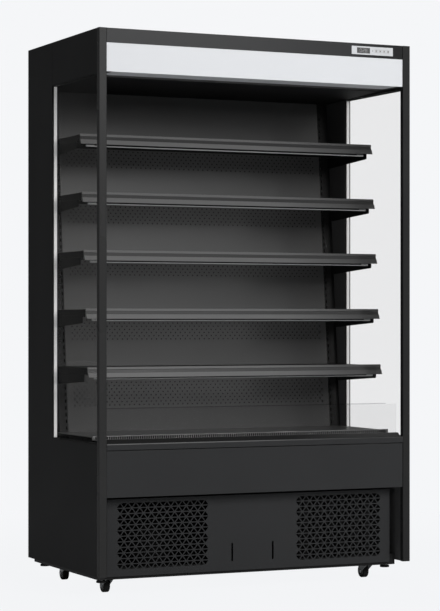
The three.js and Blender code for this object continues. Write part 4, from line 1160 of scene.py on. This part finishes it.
def spanOf(side, near, far):
    return sorted((sides[side] * near, sides[side] * far))


def makeUpright(side):
    node = f"{side}_upright"
    low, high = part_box(node)
    outer = max(abs(low.x), abs(high.x))
    inner = min(abs(low.x), abs(high.x))
    sheet, depth = uprights["sheet"], uprights["depth"]
    step = inner + uprights["face"]
    upright = leaningBlock(f"{side}SlottedUpright", *spanOf(side, inner, outer), 0, depth, low.z, high.z)
    foot, head = low.z - past, high.z + past
    recess = leaningBlock("recess", *spanOf(side, step, outer + past), -past, uprights["recess"], foot, head)
    hollow = leaningBlock(
        "hollow", *spanOf(side, inner + sheet, step - sheet), sheet, depth + past, foot, head)
    cutAway(upright, recess, hollow)
    near = inner + uprights["slotInset"]
    pitch, punch = uprights["slotPitch"], uprights["punch"]
    startZ = low.z + pitch
    slotX0, slotX1 = spanOf(side, near, near + uprights["slotWidth"])
    plane = backPlane(startZ)
    slots = blockBetween(
        "slots", (slotX0, plane - punch, startZ),
        (slotX1, plane + sheet + punch, startZ + uprights["slotHeight"]))
    repeatAlong(slots, (0, lean * pitch, pitch), int((high.z - startZ) / pitch))
    cutAway(upright, slots)
    # The upright's dark finish is painted shade of the back corner
    softFit(upright, uprights["edge"], "corner", [node])
    for number in shelfNumbers:
        makeBracket(side, number)


def makeBracket(side, number):
    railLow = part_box(f"price_rail_{number}")[0]
    foot = railLow.z
    wallSide = abs(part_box(f"shelf_{number}")[0].x)
    nose = railLow.y + brackets["inset"]
    rearY = backPlane(foot) + uprights["recess"] - brackets["short"]
    top = foot + brackets["top"]
    x0, x1 = spanOf(side, wallSide - brackets["sheet"], wallSide)
    arm = blockBetween(
        f"{side}ShelfBracket{number}", (x0, nose, foot - brackets["heelDrop"]), (x1, rearY, top))
    slope = Vector((0, rearY - nose, brackets["noseDrop"] - brackets["heelDrop"]))
    downwards = Vector((0, slope.z, -slope.y)).normalized()
    sliceAcross(arm, (0, nose, foot - brackets["noseDrop"]), downwards, clear=True)
    roundEdges(arm, brackets["nose"], brackets["noseSteps"],
               lambda centre, along: abs(along.x) > mostly and centre.y < nose + past and centre.z < foot)
    seatX0, seatX1 = spanOf(side, wallSide - brackets["flange"], wallSide)
    fuse(arm, blockBetween("seat", (seatX0, nose, top - brackets["sheet"]), (seatX1, rearY, top)))
    softFit(arm, uprights["edge"], "shelf")


for side in sides:
    makeUpright(side)
print("uprights made")

# Shelves: tray, price rail and a lamp lens under the front
shelves = {
    "edge": 0.4 * mm, "railEdge": 0.8 * mm, "railSteps": 3, "railTilt": math.atan(14 / 40),
    "grooveFrom": 18.2 * mm, "grooveTo": 30.8 * mm, "grooveDeep": 4 * mm, "grooveSkin": 0.3 * mm,
    "lensRadius": 4 * mm, "lensBack": 9 * mm, "lensUp": 0.5 * mm, "lensEnd": 29 * mm, "lensEdge": 0.6 * mm,
    "lensSides": 20,
}


# Painted shade: the groove's dark finish goes on the faces behind the rail's face, between the groove's two
# edges.
def paintGrooveShade(rail, foot):
    up = Vector((0, math.sin(shelves["railTilt"]), math.cos(shelves["railTilt"])))
    out = Vector((0, -up.z, up.y))

    def inShadedGroove(centre, normal):
        reach = centre - foot
        across = shelves["grooveFrom"] < reach.dot(up) < shelves["grooveTo"]
        return across and -shelves["grooveDeep"] < reach.dot(out) < -shelves["grooveSkin"]

    paintFaces(rail, inShadedGroove)


def makeShelf(number):
    shelfNode, railNode = f"shelf_{number}", f"price_rail_{number}"
    fitCopy(shelfNode, f"shelfTray{number}", shelves["edge"], "shelf")
    rail = fitCopy(
        railNode, f"priceRail{number}", shelves["railEdge"], ["rail", "grooveShade"],
        shelves["railSteps"])
    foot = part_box(railNode)[0]
    paintGrooveShade(rail, Vector((0, foot.y, foot.z)))
    low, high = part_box(shelfNode)
    lens = roundBar(
        f"lampLens{number}", (0, low.y + shelves["lensBack"], low.z + shelves["lensUp"]),
        shelves["lensRadius"], 2 * (high.x - shelves["lensEnd"]), "X", shelves["lensSides"])
    softFit(lens, shelves["lensEdge"], "lens")


for number in shelfNumbers:
    makeShelf(number)
print("shelves made")

# Casters: zinc fork, rubber tread, and a core with a dished cheek on each side
casters = {
    "forkEdge": 0.5 * mm, "treadSides": 48, "tread": 3 * mm, "treadSteps": 4, "treadEdge": 0.4 * mm,
    "nearSide": 0.99, "nearRim": 0.9, "hub": 0.62, "gap": 0.05 * mm, "coreSides": 32, "coreIn": 1 * mm,
    "rim": 2.5 * mm, "slope": 1.5 * mm, "dish": 2 * mm, "bore": 4.5 * mm, "coreEdge": 0.3 * mm,
}


def makeFork(corner):
    fitCopy(
        f"{corner}_caster_fork", f"{corner}CasterFork", casters["forkEdge"], "zinc",
        body=f"{corner}_fork")


def makeWheel(corner):
    node, body = f"{corner}_caster_wheel", f"{corner}_wheel"
    low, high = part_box(node)
    middle = (low + high) / 2
    radius, half = (high.z - low.z) / 2, (high.x - low.x) / 2
    hub, through = radius * casters["hub"], 2 * half + 2 * past
    wheel = roundBar(f"{corner}WheelTread", middle, radius, 2 * half, "X", casters["treadSides"])
    cutAway(wheel, roundBar("bore", middle, hub, through, "X", casters["treadSides"]))
    roundEdges(wheel, casters["tread"], casters["treadSteps"],
               lambda centre, along: abs(centre.x - middle.x) > half * casters["nearSide"]
               and (centre - middle).length > radius * casters["nearRim"] and abs(along.x) < 0.5)
    softFit(wheel, casters["treadEdge"], "rubber", [node], body, steps=1)
    core = roundBar(
        f"{corner}WheelCore", middle, hub - casters["gap"], 2 * half - casters["coreIn"], "X",
        casters["coreSides"])
    pickFaces(core, lambda centre, normal: abs(normal.x) > mostly)
    bpy.ops.mesh.inset(thickness=casters["rim"], use_individual=True)
    bpy.ops.mesh.inset(thickness=casters["slope"], depth=-casters["dish"], use_individual=True)
    leaveEditing()
    cutAway(core, roundBar("bore", middle, casters["bore"], through, "X"))
    softFit(core, casters["coreEdge"], "cheek", body=body, steps=1)


# Levelling feet: rubber pad, stem and nut
feet = {
    "padHigh": 8 * mm, "padSides": 32, "padRound": 1.8 * mm, "padSteps": 3, "smooth": math.radians(40),
    "stemFoot": 7 * mm, "stem": 4.9 * mm, "stemSides": 20, "nut": 9 * mm, "nutHigh": 6 * mm,
    "nutMiddle": 11.5 * mm, "nutBore": 5 * mm, "edge": 0.5 * mm,
}


def makeFoot(corner):
    node = f"{corner}_foot"
    low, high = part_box(node)
    middle = (low + high) / 2
    padHigh, stemFoot = feet["padHigh"], low.z + feet["stemFoot"]
    pad = roundBar(
        f"{corner}LevellingFoot", (middle.x, middle.y, low.z + padHigh / 2), (high.x - low.x) / 2, padHigh,
        sides=feet["padSides"])
    roundEdges(pad, feet["padRound"], feet["padSteps"], lambda centre, along: abs(along.z) < 0.5)
    workOn(pad)
    bpy.ops.object.shade_smooth_by_angle(angle=feet["smooth"])
    fit(pad, "rubber", [node], node)
    stem = roundBar(
        f"{corner}FootStem", (middle.x, middle.y, (stemFoot + high.z) / 2), feet["stem"], high.z - stemFoot,
        sides=feet["stemSides"])
    nutMiddle = (middle.x, middle.y, low.z + feet["nutMiddle"])
    nut = roundBar(f"{corner}FootNut", nutMiddle, feet["nut"], feet["nutHigh"], sides=6)
    cutAway(nut, roundBar(
        "bore", nutMiddle, feet["nutBore"], feet["nutHigh"] + 2 * past, sides=feet["stemSides"]))
    for piece in (stem, nut):
        softFit(piece, feet["edge"], "zinc", body=node)


for corner in wheelCorners:
    makeFork(corner)
    makeWheel(corner)
    makeFoot(corner)
print("casters and feet made")

# Back wall: louvre slots for the machine room, a grommet in the cable hole
rear = {
    "edge": 1 * mm, "slotLong": 84 * mm, "slotHigh": 8 * mm, "slotRound": 0.48, "slotSteps": 3,
    "slotPitchX": 100 * mm, "slotPitchZ": 30 * mm, "slotLow": 134 * mm, "slotRows": 6, "half": 400 * mm,
}
cable = {
    "fromEnd": 99.7 * mm, "height": 200 * mm, "hole": 12 * mm, "punch": 60 * mm, "holeSides": 32,
    "ring": 11.5 * mm, "ringThick": 1.4 * mm, "ringSides": 12, "ringIn": 1.5 * mm,
}


def makeBackWall():
    low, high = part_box("back_wall")
    wall = softenEdges(blockBetween("backWall", low, high), rear["edge"])
    pitch, long, tall, foot = rear["slotPitchX"], rear["slotLong"], rear["slotHigh"], rear["slotLow"]
    columns = int(2 * rear["half"] / pitch)
    startX = -(columns - 1) * pitch / 2
    slots = blockBetween(
        "slots", (startX - long / 2, low.y - past, foot), (startX + long / 2, high.y + past, foot + tall))
    roundEdges(slots, tall * rear["slotRound"], rear["slotSteps"], frontToBack)
    repeatAlong(slots, (pitch, 0, 0), columns)
    repeatAlong(slots, (0, 0, rear["slotPitchZ"]), rear["slotRows"])
    holeX, holeZ = high.x - cable["fromEnd"], cable["height"]
    hole = roundBar(
        "hole", (holeX, (low.y + high.y) / 2, holeZ), cable["hole"], cable["punch"], "Y", cable["holeSides"])
    cutAway(wall, slots, hole)
    fit(wall, "wall", ["back_wall"])
    clearSelection()
    bpy.ops.mesh.primitive_torus_add(
        location=(holeX, high.y - cable["ringIn"], holeZ), rotation=(math.pi / 2, 0, 0),
        major_radius=cable["ring"], minor_radius=cable["ringThick"], major_segments=cable["holeSides"],
        minor_segments=cable["ringSides"])
    grommet = settle("cableGrommet")
    bpy.ops.object.shade_smooth()
    fit(grommet, "rubber")


# A black sheet inside, behind the slots, is painted shade for the slots to show.
shadeSheet = {
    "back": 12 * mm, "sheet": 1 * mm, "side": 30 * mm, "below": 25 * mm, "above": 5 * mm, "edge": 0.3 * mm,
}


def makeShadeSheet():
    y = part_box("back_wall")[0].y - shadeSheet["back"]
    half = rear["half"] + shadeSheet["side"]
    slotsTop = rear["slotLow"] + rear["slotRows"] * rear["slotPitchZ"]
    fitBlock(
        "rearShadeSheet", (-half, y - shadeSheet["sheet"], rear["slotLow"] - shadeSheet["below"]),
        (half, y, slotsTop + shadeSheet["above"]), shadeSheet["edge"], "pit", "black_steel")


makeBackWall()
makeShadeSheet()
chassisEdge = 0.5 * mm
fitCopy("chassis", "chassisFloor", chassisEdge, "steel")
print("back and chassis made")

# CAD nodes that are shown as they are, most of them hidden inside
kept = {
    "insulated_tub": "inner", "roof_panel": "wall", "compressor": "pit", "condenser": "condenser",
    "condenser_fan": "plastic", "evaporator": "fins", "left_evaporator_fan": "plastic",
    "right_evaporator_fan": "plastic",
}
for node, finish in kept.items():
    coatWith(frame["nodes"][node], finish)
print("inner pieces finished")
